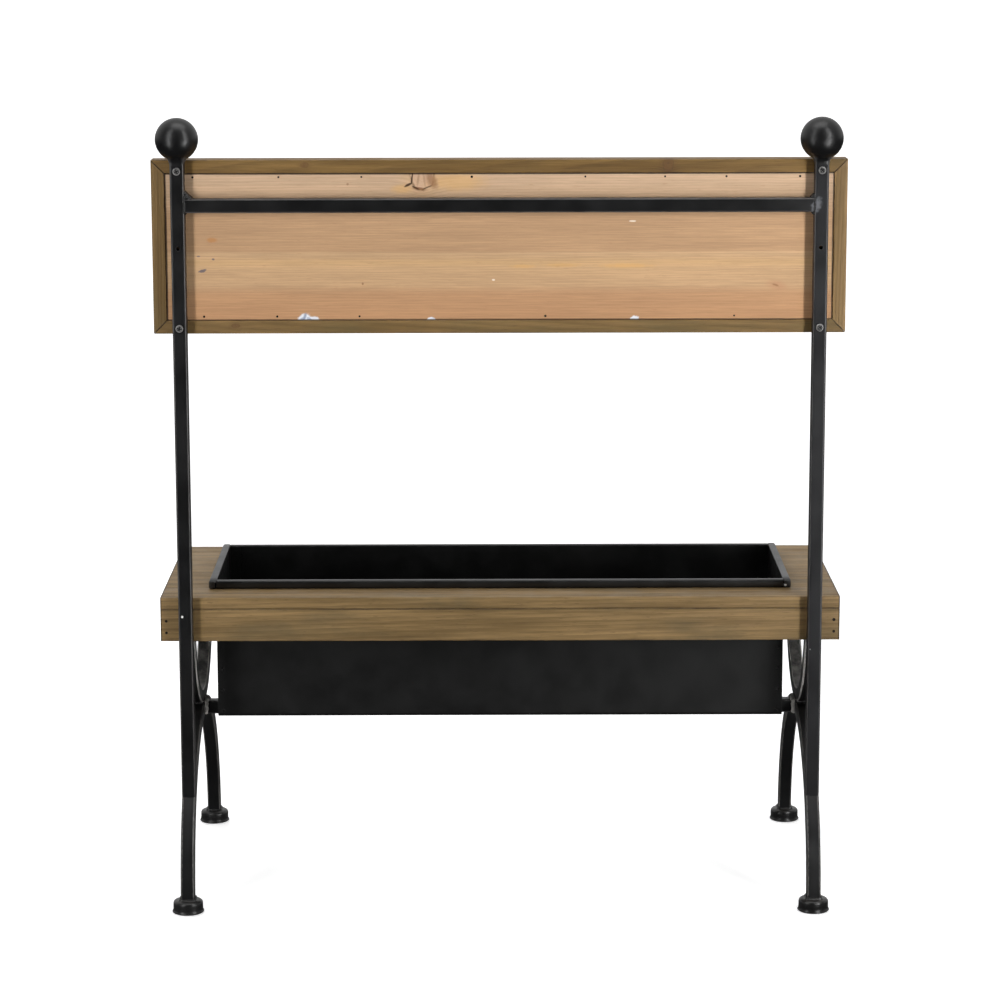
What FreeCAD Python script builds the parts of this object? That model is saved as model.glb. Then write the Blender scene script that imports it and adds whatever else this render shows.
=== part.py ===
# Planter stand: a welded square tube frame carries a box bench with a drop-in trough and a framed sign board.
# Millimetres, +Z up, front towards -Y, left towards -X. The origin is on the floor midway between the feet.
import FreeCAD
import Part
import Sketcher
import math
import os
import re

Vector = FreeCAD.Vector
sideways = Vector(1, 0, 0)
backwards = Vector(0, 1, 0)
upwards = Vector(0, 0, 1)
doc = FreeCAD.newDocument("planter_stand")
sheet = doc.addObject("Spreadsheet::Sheet", "sizes")
sub_parts = []

# Driving dimensions: name, millimetres, what it measures
driving = [
    ("tube", 14.0, "side of the square tube"),
    ("tubeWall", 1.2, "wall of the square tube"),
    ("tubeCorner", 2.0, "outer corner radius of the square tube"),
    ("postInset", 19.3, "outside of the posts in from the ends of the bench"),
    ("postRise", 2.0, "post top above the top of the sign board"),
    ("postHole", 4.2, "screw hole through a post"),
    ("railDrop", 44.0, "upper rail centreline below the top of the sign board"),
    ("lowerArcRadius", 165.0, "centreline radius of the leg arch"),
    ("limbClear", 17.0, "arc under the bench, behind the front apron"),
    ("limbRise", 10.5, "straight end of that arc, above its centre"),
    ("legSeat", 7.5, "leg end above the floor, inside its foot"),
    ("footDiameter", 32.0, "foot across its bottom rim"),
    ("footHeight", 17.5, "height of a foot"),
    ("footRim", 2.5, "height of the bottom rim"),
    ("footFlare", 1.0, "rim beyond the side of the foot"),
    ("footShoulder", 6.0, "height of the sloping shoulder"),
    ("footNeck", 21.0, "top of the foot, across"),
    ("footRound", 1.2, "rounding of the shoulder"),
    ("socketGap", 0.5, "foot socket round the leg, each side"),
    ("ballDiameter", 42.4, "ball tip"),
    ("ballFlat", 2.5, "ball ground flat where it meets the post"),
    ("neckWall", 0.3, "weld under a ball, beyond the corners of the tube"),
    ("neckFlare", 2.0, "how far that weld widens towards the ball"),
    ("bead", 4.0, "leg length of a fillet weld"),
    ("arcBeadStart", 8.0, "start of the weld between two arcs, from their touching line"),
    ("arcBeadEnd", 22.0, "end of that weld"),
    ("bearerWidth", 20.0, "width of the flat bar under the bench top"),
    ("bearerThickness", 3.0, "thickness of the flat bar"),
    ("benchWidth", 685.0, "bench, left to right"),
    ("benchDepth", 262.0, "bench, front to rear"),
    ("benchShift", 8.0, "middle of the bench in front of the middle of the legs"),
    ("topThickness", 12.0, "bench top boards"),
    ("rearBoard", 46.5, "width of the board behind the trough"),
    ("frontBoard", 35.5, "width of the board in front of the trough"),
    ("endBoard", 51.0, "width of the boards at the ends of the trough"),
    ("apronHeight", 33.0, "apron below the top boards"),
    ("apronThickness", 11.5, "apron boards"),
    ("edgeRound", 1.2, "sanded edges of the bench and of the sign frame"),
    ("panelClear", 268.0, "bench top to the bottom of the sign board"),
    ("panelWidth", 686.0, "sign board, left to right"),
    ("panelHeight", 172.0, "sign board, bottom to top"),
    ("frameFace", 13.0, "frame bar seen from behind"),
    ("frameLip", 8.0, "lip of the frame bar in front of the panel"),
    ("frameDepth", 26.0, "frame bar, front to rear"),
    ("panelThickness", 9.0, "raw panel"),
    ("panelRecess", 1.0, "raw panel let in below the rear of its frame"),
    ("panelGap", 0.5, "gap round the raw panel"),
    ("screwHead", 7.7, "screw head, across"),
    ("screwHeadHeight", 2.6, "height of a screw head"),
    ("screwHeadRound", 1.8, "rounding of a screw head"),
    ("screwShank", 3.5, "screw shank"),
    ("screwTip", 5.0, "length of a screw's point"),
    ("recessSpan", 4.4, "cross recess of a screw, across"),
    ("recessWidth", 1.1, "width of its slots"),
    ("recessDepth", 1.4, "depth of its slots"),
    ("panelScrewLength", 32.0, "screws of the sign board"),
    ("screwInsetTop", 10.0, "upper screws below the top of the sign board"),
    ("screwInsetBottom", 7.0, "lower screws above its bottom"),
    ("bearerScrewLength", 12.0, "screws of the flat bars"),
    ("bearerScrewSpread", 60.0, "those screws from the middle of the bar"),
    ("nailDiameter", 2.4, "apron nails"),
    ("nailLength", 30.0, "length of an apron nail"),
    ("nailLow", 9.0, "lower nails above the bottom of the apron"),
    ("nailHigh", 21.0, "upper nails above the bottom of the apron"),
    ("bradDiameter", 2.0, "panel brads"),
    ("bradLength", 16.0, "length of a panel brad"),
    ("bradInset", 4.0, "brads from the long edges of the frame opening"),
    ("bradEnd", 28.0, "last brads from the ends of that opening"),
    ("troughClear", 0.5, "trough bottom above the stretcher"),
    ("sheetThickness", 1.0, "sheet metal"),
    ("bendRadius", 4.0, "outer bend radius of the sheet"),
    ("openingGap", 1.5, "bench opening round the trough, each side"),
    ("rimWidth", 6.8, "rolled rim beyond the trough wall"),
    ("rimHeight", 8.8, "rolled rim above the bench top"),
    ("rimCap", 2.2, "rolled rim above the trough wall"),
    ("rimRound", 2.5, "outer rounding of the rolled rim"),
    ("mouthRound", 1.0, "inner rounding of the rolled rim"),
    ("flange", 12.0, "flange of an end pan"),
    ("spotDiameter", 4.0, "spot weld mark"),
    ("spotHeight", 0.5, "how far a spot weld mark stands out"),
    ("spotInset", 5.0, "spot welds from the ends of the trough"),
    ("spotLow", 6.0, "lowest spot welds above the trough bottom"),
    ("spotPitch", 22.0, "spot welds apart, upwards"),
]

# Sizes and levels that follow from the driving dimensions
derived = {
    "halfTube": "tube / 2",
    "halfSpan": "benchWidth / 2 - postInset - halfTube",
    "flatTube": "tube - 2 * tubeCorner",
    "innerFace": "halfSpan - halfTube",
    "postFront": "benchDepth / 2 - benchShift",
    "postSetback": "postFront + halfTube",
    "postRear": "postFront + tube",
    "benchFront": "postFront - benchDepth",
    "legOutside": "lowerArcRadius + halfTube",
    "cradleOutside": "-benchFront - apronThickness - limbClear",
    "upperArcRadius": "cradleOutside - halfTube",
    "apexCentre": "legSeat + lowerArcRadius",
    "apexTop": "apexCentre + halfTube",
    "upperCentre": "apexTop + cradleOutside",
    "limbTop": "upperCentre + limbRise",
    "underTop": "limbTop + bearerThickness",
    "benchTop": "underTop + topThickness",
    "apronBottom": "underTop - apronHeight",
    "panelBottom": "benchTop + panelClear",
    "panelTop": "panelBottom + panelHeight",
    "postTop": "panelTop + postRise",
    "neckRadius": "halfTube * sqrt(2) + neckWall",
    "ballCentre": "postTop + ballDiameter / 2 - ballFlat",
    "railCentre": "panelTop - railDrop",
    "barWidth": "frameFace + frameLip",
    "rebateDepth": "panelRecess + panelThickness",
    "panelRear": "postFront - panelRecess",
    "openingLength": "benchWidth - 2 * endBoard",
    "troughLength": "openingLength - 2 * openingGap",
    "openingWidth": "benchDepth - rearBoard - frontBoard",
    "troughWidth": "openingWidth - 2 * openingGap",
    "openingRear": "postFront - rearBoard",
    "openingFront": "benchFront + frontBoard",
    "troughMiddle": "openingRear - openingWidth / 2",
    "troughBottom": "apexTop + troughClear",
    "troughInside": "troughWidth - 2 * sheetThickness",
    "rimTop": "benchTop + rimHeight",
    "wallTop": "rimTop - rimCap",
    "bendInside": "bendRadius - sheetThickness",
}

cells = {alias for alias, millimetres, meaning in driving}

# Brads driven by hand, as shares of the run from the middle to the last brad
brads_top = (-0.98, -0.74, -0.54, -0.28, 0.09, 0.45, 0.72, 1.0)
brads_bottom = (-0.77, -0.15, 0.46, 0.73, 0.97)
spot_rows = 4
sides = {"left": -1, "right": 1}
near = 1e-4

# Size of a sketch's outline when it is first drawn, before its constraints place it
rough = 10.0


def fill_sheet():
    for row, (alias, millimetres, meaning) in enumerate(driving, start=1):
        sheet.set("A%d" % row, meaning)
        sheet.set("B%d" % row, str(millimetres))
        sheet.setAlias("B%d" % row, alias)
    doc.recompute()


def formula(text):
    # Names of cells and of derived sizes become one spreadsheet expression
    def spell(match):
        word = match.group()
        if word in derived:
            return "(" + formula(derived[word]) + ")"
        return "sizes." + word if word in cells else word

    return re.sub(r"[A-Za-z]\w*", spell, text)


def level(text):
    # Present value of a formula, in millimetres
    return float(sheet.evalExpression(formula(text)))


def bind(thing, **formulas):
    for name, text in formulas.items():
        thing.setExpression(name, formula(text))


def put(thing, x="0", y="0", z="0"):
    for axis, text in (("x", x), ("y", y), ("z", z)):
        thing.setExpression("Placement.Base." + axis, formula(text))


def turn(thing, axis, degrees):
    thing.Placement = FreeCAD.Placement(Vector(), FreeCAD.Rotation(axis, degrees))


def finished(thing, label):
    thing.Label = label
    sub_parts.append(thing)
    return thing


# Primitives and booleans
def box(name, x, y, z, length, width, height):
    solid = doc.addObject("Part::Box", name)
    bind(solid, Length=length, Width=width, Height=height)
    put(solid, x, y, z)
    return solid


def rod(name, axis, radius, length, x, y, z):
    solid = doc.addObject("Part::Cylinder", name)
    bind(solid, Radius=radius, Height=length)
    turns = {"x": (backwards, 90), "y": (sideways, -90)}
    turn(solid, *turns[axis])
    put(solid, x, y, z)
    return solid


def cut(name, base, *tools):
    for number, tool in enumerate(tools, start=1):
        result = doc.addObject("Part::Cut", name if number == len(tools) else "%s_cut%d" % (name, number))
        result.Base = base
        result.Tool = tool
        base = result
    return base


def group(name, members):
    bundle = doc.addObject("Part::Compound", name)
    bundle.Links = members
    return bundle


def eased(name, base, radius, test):
    doc.recompute()
    rounding = level(radius)
    fillet = doc.addObject("Part::Fillet", name)
    fillet.Base = base
    picks = [number for number, edge in enumerate(base.Shape.Edges, start=1) if test(edge)]
    fillet.Edges = [(number, rounding, rounding) for number in picks]
    return fillet


# Bodies with sketches and features
def new_body(name):
    return doc.addObject("PartDesign::Body", name)


def sketch_on(body, plane, lift="0"):
    sketch = body.newObject("Sketcher::SketchObject", body.Name + "_sketch")
    support = [feature for feature in body.Origin.OriginFeatures if feature.Role == plane][0]
    sketch.AttachmentSupport = [(support, "")]
    sketch.MapMode = "FlatFace"
    sketch.setExpression("AttachmentOffset.Base.z", formula(lift))
    return sketch


def pin(sketch, item, point, start, x, y):
    # Holds one point of a sketch at x, y from its origin
    for kind, text, axis, now in (("DistanceX", x, -2, start.x), ("DistanceY", y, -1, start.y)):
        if text == "0":
            sketch.addConstraint(Sketcher.Constraint("PointOnObject", item, point, axis))
        else:
            index = sketch.addConstraint(Sketcher.Constraint(kind, -1, 1, item, point, now))
            sketch.setExpression("Constraints[%d]" % index, formula(text))


def polygon(sketch, corners):
    count = len(corners)
    first = sketch.GeometryCount
    angles = [2 * math.pi * number / count for number in range(count)]
    spots = [Vector(rough * math.cos(angle), rough * math.sin(angle), 0) for angle in angles]
    for number in range(count):
        sketch.addGeometry(Part.LineSegment(spots[number], spots[(number + 1) % count]))
    for number in range(count):
        following = first + (number + 1) % count
        sketch.addConstraint(Sketcher.Constraint("Coincident", first + number, 2, following, 1))
    for number, (x, y) in enumerate(corners):
        pin(sketch, first + number, 1, spots[number], x, y)


def rectangle(sketch, left, bottom, right, top):
    polygon(sketch, [(left, bottom), (right, bottom), (right, top), (left, top)])


def circle(sketch, x, y, radius):
    centre = Vector(rough, rough, 0)
    item = sketch.addGeometry(Part.Circle(centre, upwards, rough))
    pin(sketch, item, 3, centre, x, y)
    index = sketch.addConstraint(Sketcher.Constraint("Radius", item, rough))
    sketch.setExpression("Constraints[%d]" % index, formula(radius))


def tube_section(sketch, y="0"):
    for half in ("halfTube", "halfTube - tubeWall"):
        rectangle(sketch, "-(%s)" % half, "%s - (%s)" % (y, half), half, "%s + (%s)" % (y, half))


def pad(body, sketch, length):
    feature = body.newObject("PartDesign::Pad", body.Name + "_pad")
    feature.Profile = sketch
    bind(feature, Length=length)
    return feature


def pocket_through(body, sketch):
    feature = body.newObject("PartDesign::Pocket", body.Name + "_pocket")
    feature.Profile = sketch
    feature.Type = "ThroughAll"
    feature.SideType = "Symmetric"
    return feature


def pocket_into(body, sketch, depth, reverse=False):
    feature = body.newObject("PartDesign::Pocket", body.Name + "_pocket")
    feature.Profile = sketch
    feature.Reversed = reverse
    bind(feature, Length=depth)
    return feature


def revolve(body, sketch, axis, degrees=360, reverse=False):
    feature = body.newObject("PartDesign::Revolution", body.Name + "_revolution")
    feature.Profile = sketch
    feature.ReferenceAxis = (sketch, [axis])
    feature.Angle = degrees
    feature.Reversed = reverse
    return feature


def soften(body, feature, radius, test):
    doc.recompute()
    edges = feature.Shape.Edges
    fillet = body.newObject("PartDesign::Fillet", body.Name + "_fillet")
    fillet.Base = (feature, ["Edge%d" % number for number, edge in enumerate(edges, start=1) if test(edge)])
    bind(fillet, Radius=radius)
    return fillet


# Ways to pick edges
def is_line(edge, axis=None):
    if edge.Curve.TypeId != "Part::GeomLine":
        return False
    return axis is None or abs(edge.tangentAt(edge.FirstParameter).dot(axis)) > 1 - near


def is_circle(edge):
    return edge.Curve.TypeId == "Part::GeomCircle"


def lies_at(edge, **places):
    # True if every end of the edge has that x, y or z, or its opposite where the name starts with abs
    for name, place in places.items():
        for vertex in edge.Vertexes:
            here = getattr(vertex.Point, name[-1])
            here = abs(here) if name.startswith("abs") else here
            if abs(here - place) > near:
                return False
    return True


# Steel frame
def make_post(side, way):
    body = new_body("post_" + side)
    section = sketch_on(body, "XY_Plane")
    tube_section(section)
    column = pad(body, section, "postTop - legSeat")
    half = level("halfTube")
    soften(body, column, "tubeCorner", lambda edge: lies_at(edge, absx=half) and is_line(edge, upwards))
    saddle = sketch_on(body, "YZ_Plane")
    circle(saddle, "-postSetback", "0", "legOutside")
    pocket_through(body, saddle)
    holes = sketch_on(body, "XZ_Plane")
    circle(holes, "0", "panelTop - screwInsetTop - legSeat", "postHole / 2")
    circle(holes, "0", "panelBottom + panelHeight / 2 - legSeat", "postHole / 2")
    circle(holes, "0", "panelBottom + screwInsetBottom - legSeat", "postHole / 2")
    pocket_through(body, holes)
    put(body, "%d * halfSpan" % way, "postSetback", "legSeat")
    finished(body, "post_" + side)


def make_finial(side, way):
    ball = doc.addObject("Part::Sphere", "ball_" + side)
    bind(ball, Radius="ballDiameter / 2")
    put(ball, "%d * halfSpan" % way, "postSetback", "ballCentre")
    x = "%d * halfSpan - ballDiameter / 2" % way
    waste = box("ball_waste_" + side, x, "postSetback - ballDiameter / 2", "postTop - ballDiameter",
                "ballDiameter", "ballDiameter", "ballDiameter")
    finished(cut("finial_" + side, ball, waste), "finial_" + side)


def make_cross_tube(name, y, z):
    body = new_body(name)
    section = sketch_on(body, "XY_Plane")
    tube_section(section)
    run = pad(body, section, "2 * innerFace")
    half = level("halfTube")
    soften(body, run, "tubeCorner", lambda edge: lies_at(edge, absx=half) and is_line(edge, upwards))
    turn(body, backwards, 90)
    put(body, "-innerFace", y, z)
    finished(body, name)


def make_arc(name, way, radius, centre, rise=None):
    # An arch without rise, or a U-shaped cradle whose two ends rise by that much
    body = new_body(name)
    section = sketch_on(body, "XY_Plane")
    tube_section(section, radius)
    ring = revolve(body, section, "H_Axis", 180, rise is not None)
    if rise is not None:
        ends = sketch_on(body, "XY_Plane")
        tube_section(ends, radius)
        tube_section(ends, "-" + radius)
        ring = pad(body, ends, rise)
    half = level("halfTube")

    def corner(edge):
        runs_along = is_circle(edge) or is_line(edge, upwards)
        return runs_along and lies_at(edge, absx=half)

    soften(body, ring, "tubeCorner", corner)
    put(body, "%d * halfSpan" % way, "0", centre)
    finished(body, name)


def make_foot(name, across, along):
    body = new_body(name)
    profile = sketch_on(body, "XZ_Plane")
    polygon(profile, [
        ("0", "0"),
        ("footDiameter / 2", "0"),
        ("footDiameter / 2", "footRim"),
        ("footDiameter / 2 - footFlare", "footRim"),
        ("footDiameter / 2 - footFlare", "footHeight - footShoulder"),
        ("footNeck / 2", "footHeight"),
        ("0", "footHeight"),
    ])
    bell = revolve(body, profile, "V_Axis")
    shoulder = level("footHeight - footShoulder")
    soften(body, bell, "footRound", lambda edge: is_circle(edge) and lies_at(edge, z=shoulder))
    socket = sketch_on(body, "XY_Plane", "legSeat")
    half = "halfTube + socketGap"
    rectangle(socket, "-(%s)" % half, "-(%s)" % half, half, half)
    pocket_into(body, socket, "footHeight", reverse=True)
    put(body, "%d * halfSpan" % across, "%d * lowerArcRadius" % along)
    finished(body, name)


def fillet_bead(name, quadrant, x, y, z, upright=False):
    # Triangular weld in a square corner. Quadrants 0 to 3 turn it about its own length.
    body = new_body(name)
    section = sketch_on(body, "XZ_Plane")
    polygon(section, [("0", "0"), ("bead", "0"), ("0", "bead")])
    pad(body, section, "flatTube")
    stand = FreeCAD.Rotation(sideways, -90 if upright else 0)
    spin = FreeCAD.Rotation(backwards, 90 * quadrant)
    body.Placement = FreeCAD.Placement(Vector(), stand.multiply(spin))
    put(body, x, y, z)
    return body


def make_welds():
    rail = []
    cross = []
    arcs = []
    necks = []
    for side, way in sides.items():
        face = "%d * innerFace" % way
        over = 0 if way < 0 else 3
        under = 1 if way < 0 else 2
        start = "postSetback + flatTube / 2"
        rail.append(fillet_bead("rail_bead_over_" + side, over, face, start, "railCentre + halfTube"))
        rail.append(fillet_bead("rail_bead_under_" + side, under, face, start, "railCentre - halfTube"))
        cross.append(fillet_bead("cross_bead_over_" + side, over, face, "flatTube / 2", "apexTop"))
        for where, quadrant, edge in (("rear", over, "halfTube"), ("front", under, "-halfTube")):
            name = "cross_bead_%s_%s" % (where, side)
            cross.append(fillet_bead(name, quadrant, face, edge, "apexCentre - flatTube / 2", upright=True))
        for where, start in (("rear", "arcBeadStart"), ("front", "-arcBeadEnd")):
            name = "arc_bead_%s_%s" % (where, side)
            block = box(name + "_block", "%d * halfSpan - flatTube / 2" % way, start, "apexTop - bead * 2",
                        "flatTube", "arcBeadEnd - arcBeadStart", "bead * 4")
            middle = "%d * halfSpan - tube" % way
            above = rod(name + "_above", "x", "cradleOutside", "2 * tube", middle, "0", "upperCentre")
            below = rod(name + "_below", "x", "legOutside", "2 * tube", middle, "0", "legSeat")
            arcs.append(cut(name, block, above, below))
        cone = doc.addObject("Part::Cone", "neck_cone_" + side)
        bind(cone, Radius1="neckRadius", Radius2="neckRadius + neckFlare", Height="postRise")
        put(cone, "%d * halfSpan" % way, "postSetback", "panelTop")
        core = box("neck_core_" + side, "%d * halfSpan - halfTube" % way, "postFront", "panelTop - postRise",
                   "tube", "tube", "4 * postRise")
        necks.append(cut("neck_bead_" + side, cone, core))
    finished(group("rail_welds", rail), "rail_welds")
    finished(group("stretcher_welds", cross), "stretcher_welds")
    finished(group("arc_welds", arcs), "arc_welds")
    finished(group("finial_welds", necks), "finial_welds")


def make_steel_frame():
    for side, way in sides.items():
        make_post(side, way)
        make_finial(side, way)
        make_arc("upper_arc_" + side, way, "upperArcRadius", "upperCentre", "limbRise")
        make_arc("lower_arc_" + side, way, "lowerArcRadius", "legSeat")
        for end, along in (("front", -1), ("rear", 1)):
            make_foot("foot_%s_%s" % (end, side), way, along)
    make_cross_tube("upper_rail", "postSetback", "railCentre")
    make_cross_tube("stretcher", "0", "apexCentre")
    make_welds()


# Fasteners
def make_screw(name, length, degrees, x, y, z):
    # Pan head with a cross recess. The head stands on the surface at the given point, turned about X.
    body = new_body(name)
    profile = sketch_on(body, "XZ_Plane")
    polygon(profile, [
        ("0", "screwHeadHeight"),
        ("screwHead / 2", "screwHeadHeight"),
        ("screwHead / 2", "0"),
        ("screwShank / 2", "0"),
        ("screwShank / 2", "screwTip - (%s)" % length),
        ("0", "-(%s)" % length),
    ])
    blank = revolve(body, profile, "V_Axis")
    crown = level("screwHeadHeight")
    soften(body, blank, "screwHeadRound", lambda edge: is_circle(edge) and lies_at(edge, z=crown))
    recess = sketch_on(body, "XY_Plane", "screwHeadHeight")
    wide = "recessSpan / 2"
    slim = "recessWidth / 2"
    polygon(recess, [
        (wide, "-" + slim), (wide, slim), (slim, slim), (slim, wide), ("-" + slim, wide), ("-" + slim, slim),
        ("-" + wide, slim), ("-" + wide, "-" + slim), ("-" + slim, "-" + slim), ("-" + slim, "-" + wide),
        (slim, "-" + wide), (slim, "-" + slim),
    ])
    pocket_into(body, recess, "recessDepth")
    turn(body, sideways, degrees)
    put(body, x, y, z)
    return body


def make_panel_screws():
    screws = {"top": [], "bottom": []}
    for side, way in sides.items():
        for row, z in (("top", "panelTop - screwInsetTop"), ("bottom", "panelBottom + screwInsetBottom")):
            name = "panel_screw_%s_%s" % (row, side)
            x = "%d * halfSpan" % way
            screws[row].append(make_screw(name, "panelScrewLength", -90, x, "postRear", z))
    finished(group("panel_screws", screws["top"] + screws["bottom"]), "panel_screws")
    return screws


def make_bearer_screws():
    screws = {}
    for side, way in sides.items():
        x = "%d * halfSpan" % way
        screws[side] = []
        for end, along in (("front", -1), ("rear", 1)):
            name = "bearer_screw_%s_%s" % (end, side)
            y = "%d * bearerScrewSpread" % along
            screws[side].append(make_screw(name, "bearerScrewLength", 180, x, y, "limbTop"))
    finished(group("bearer_screws", screws["left"] + screws["right"]), "bearer_screws")
    return screws


def make_apron_nails():
    nails = {}
    for end, start in (("front", "benchFront"), ("rear", "postFront - nailLength")):
        for side, way in sides.items():
            x = "%d * (benchWidth / 2 - apronThickness / 2)" % way
            nails[end, side] = []
            for row in ("nailLow", "nailHigh"):
                name = "%s_%s_%s" % (row, end, side)
                z = "apronBottom + " + row
                nails[end, side].append(rod(name, "y", "nailDiameter / 2", "nailLength", x, start, z))
    finished(group("apron_nails", sum(nails.values(), [])), "apron_nails")
    return nails


def make_panel_brads():
    brads = {}
    rows = (("top", brads_top, "panelTop - frameFace - bradInset"),
            ("bottom", brads_bottom, "panelBottom + frameFace + bradInset"))
    for row, shares, z in rows:
        brads[row] = []
        for number, share in enumerate(shares, start=1):
            x = "%s * (panelWidth / 2 - frameFace - bradEnd)" % share
            name = "brad_%s_%d" % (row, number)
            point = "panelRear - bradLength"
            brads[row].append(rod(name, "y", "bradDiameter / 2", "bradLength", x, point, z))
    finished(group("panel_brads", brads["top"] + brads["bottom"]), "panel_brads")
    return brads


# Bench
def make_top_boards(screws):
    half = level("benchWidth / 2")
    top = level("benchTop")
    rear = level("postFront")
    front = level("benchFront")

    def long_board(name, y, width, outer):
        blank = box(name + "_blank", "-benchWidth / 2", y, "underTop", "benchWidth", width, "topThickness")

        def rim(edge):
            on_side = lies_at(edge, y=outer) or lies_at(edge, x=half) or lies_at(edge, x=-half)
            upright = lies_at(edge, absx=half, y=outer) and is_line(edge, upwards)
            return upright or (on_side and lies_at(edge, z=top))

        finished(eased(name, blank, "edgeRound", rim), name)

    long_board("top_board_rear", "openingRear", "rearBoard", rear)
    long_board("top_board_front", "benchFront", "frontBoard", front)
    for side, way in sides.items():
        name = "top_board_" + side
        x = "-benchWidth / 2" if way < 0 else "openingLength / 2"
        blank = box(name + "_blank", x, "openingFront", "underTop",
                    "endBoard", "openingWidth", "topThickness")
        smooth = eased(name + "_eased", blank, "edgeRound", lambda edge: lies_at(edge, absx=half, z=top))
        finished(cut(name, smooth, *screws[side]), name)


def make_aprons(nails):
    bottom = level("apronBottom")
    half = level("benchWidth / 2")
    for end, y, outer in (("front", "benchFront", level("benchFront")),
                          ("rear", "postFront - apronThickness", level("postFront"))):
        name = "apron_" + end
        blank = box(name + "_blank", "-benchWidth / 2", y, "apronBottom",
                    "benchWidth", "apronThickness", "apronHeight")

        def corner(edge, outer=outer):
            upright = lies_at(edge, absx=half, y=outer) and is_line(edge, upwards)
            return upright or lies_at(edge, y=outer, z=bottom)

        smooth = eased(name + "_eased", blank, "edgeRound", corner)
        finished(cut(name, smooth, *nails[end, "left"], *nails[end, "right"]), name)
    for side, way in sides.items():
        name = "apron_" + side
        x = "-benchWidth / 2" if way < 0 else "benchWidth / 2 - apronThickness"
        blank = box(name + "_blank", x, "benchFront + apronThickness", "apronBottom",
                    "apronThickness", "benchDepth - 2 * apronThickness", "apronHeight")
        smooth = eased(name + "_eased", blank, "edgeRound", lambda edge: lies_at(edge, absx=half, z=bottom))
        finished(cut(name, smooth, *nails["front", side], *nails["rear", side]), name)


def make_bench():
    screws = make_bearer_screws()
    for side, way in sides.items():
        name = "bearer_" + side
        bar = box(name + "_blank", "%d * halfSpan - bearerWidth / 2" % way, "-cradleOutside", "limbTop",
                  "bearerWidth", "2 * cradleOutside", "bearerThickness")
        finished(cut(name, bar, *screws[side]), name)
    make_top_boards(screws)
    make_aprons(make_apron_nails())


# Sign board
def frame_bar(name, length, degrees):
    # One mitred bar with its outer edge on the local X axis. The bar lies below it, rebated from behind.
    body = new_body(name)
    face = sketch_on(body, "XZ_Plane")
    polygon(face, [
        ("-(%s) / 2" % length, "0"),
        ("(%s) / 2" % length, "0"),
        ("(%s) / 2 - barWidth" % length, "-barWidth"),
        ("barWidth - (%s) / 2" % length, "-barWidth"),
    ])
    bar = pad(body, face, "frameDepth")
    soften(body, bar, "edgeRound", lambda edge: is_line(edge, sideways) and lies_at(edge, z=0))
    rebate = sketch_on(body, "XZ_Plane")
    rectangle(rebate, "-(%s) / 2" % length, "-2 * barWidth", "(%s) / 2" % length, "-frameFace")
    pocket_into(body, rebate, "rebateDepth", reverse=True)
    turn(body, backwards, degrees)
    return body


def make_sign():
    screws = make_panel_screws()
    brads = make_panel_brads()
    for row, degrees, z in (("top", 0, "panelTop"), ("bottom", 180, "panelBottom")):
        name = "frame_rail_" + row
        bar = frame_bar(name + "_bar", "panelWidth", degrees)
        put(bar, "0", "postFront", z)
        finished(cut(name, bar, *screws[row], *brads[row]), name)
    for side, way in sides.items():
        name = "frame_stile_" + side
        bar = frame_bar(name, "panelHeight", 90 * way)
        put(bar, "%d * panelWidth / 2" % way, "postFront", "panelBottom + panelHeight / 2")
        finished(bar, name)
    rim = "frameFace + panelGap"
    blank = box("sign_panel_blank",
                "%s - panelWidth / 2" % rim, "panelRear - panelThickness", "panelBottom + " + rim,
                "panelWidth - 2 * (%s)" % rim, "panelThickness", "panelHeight - 2 * (%s)" % rim)
    finished(cut("sign_panel", blank, *brads["top"], *brads["bottom"]), "sign_panel")


# Trough
def make_trough_wrap():
    body = new_body("trough_wrap")
    section = sketch_on(body, "YZ_Plane")
    inner = "troughWidth / 2 - sheetThickness"
    floor = "troughBottom + sheetThickness"
    polygon(section, [
        ("-troughWidth / 2", "wallTop"), ("-troughWidth / 2", "troughBottom"),
        ("troughWidth / 2", "troughBottom"), ("troughWidth / 2", "wallTop"),
        (inner, "wallTop"), (inner, floor), ("-(%s)" % inner, floor), ("-(%s)" % inner, "wallTop"),
    ])
    run = pad(body, section, "troughLength")
    bottom = level("troughBottom")
    half = level("troughWidth / 2")
    thin = level("sheetThickness")
    outer = soften(body, run, "bendRadius", lambda edge: lies_at(edge, absy=half, z=bottom)
                   and is_line(edge, sideways))
    soften(body, outer, "bendInside", lambda edge: lies_at(edge, absy=half - thin, z=bottom + thin)
           and is_line(edge, sideways))
    put(body, "-troughLength / 2", "troughMiddle")
    finished(body, "trough_wrap")


def make_trough_end(side, way):
    name = "trough_end_" + side
    bottom = level("troughBottom + sheetThickness")
    if way < 0:
        shell = "-troughLength / 2"
        space = "sheetThickness - troughLength / 2"
    else:
        shell = "troughLength / 2 - flange"
        space = "troughLength / 2 - sheetThickness - 2 * flange"
    blank = box(name + "_blank", shell, "troughMiddle - troughInside / 2", "troughBottom + sheetThickness",
                "flange", "troughInside", "wallTop - troughBottom - sheetThickness")
    pan = eased(name + "_pan", blank, "bendInside", lambda edge: lies_at(edge, z=bottom)
                and is_line(edge, sideways))
    y = "troughMiddle - troughInside / 2 + sheetThickness"
    hollow = box(name + "_hollow", space, y, "troughBottom + 2 * sheetThickness",
                 "2 * flange", "troughInside - 2 * sheetThickness", "wallTop")
    finished(cut(name, pan, hollow), name)


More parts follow.
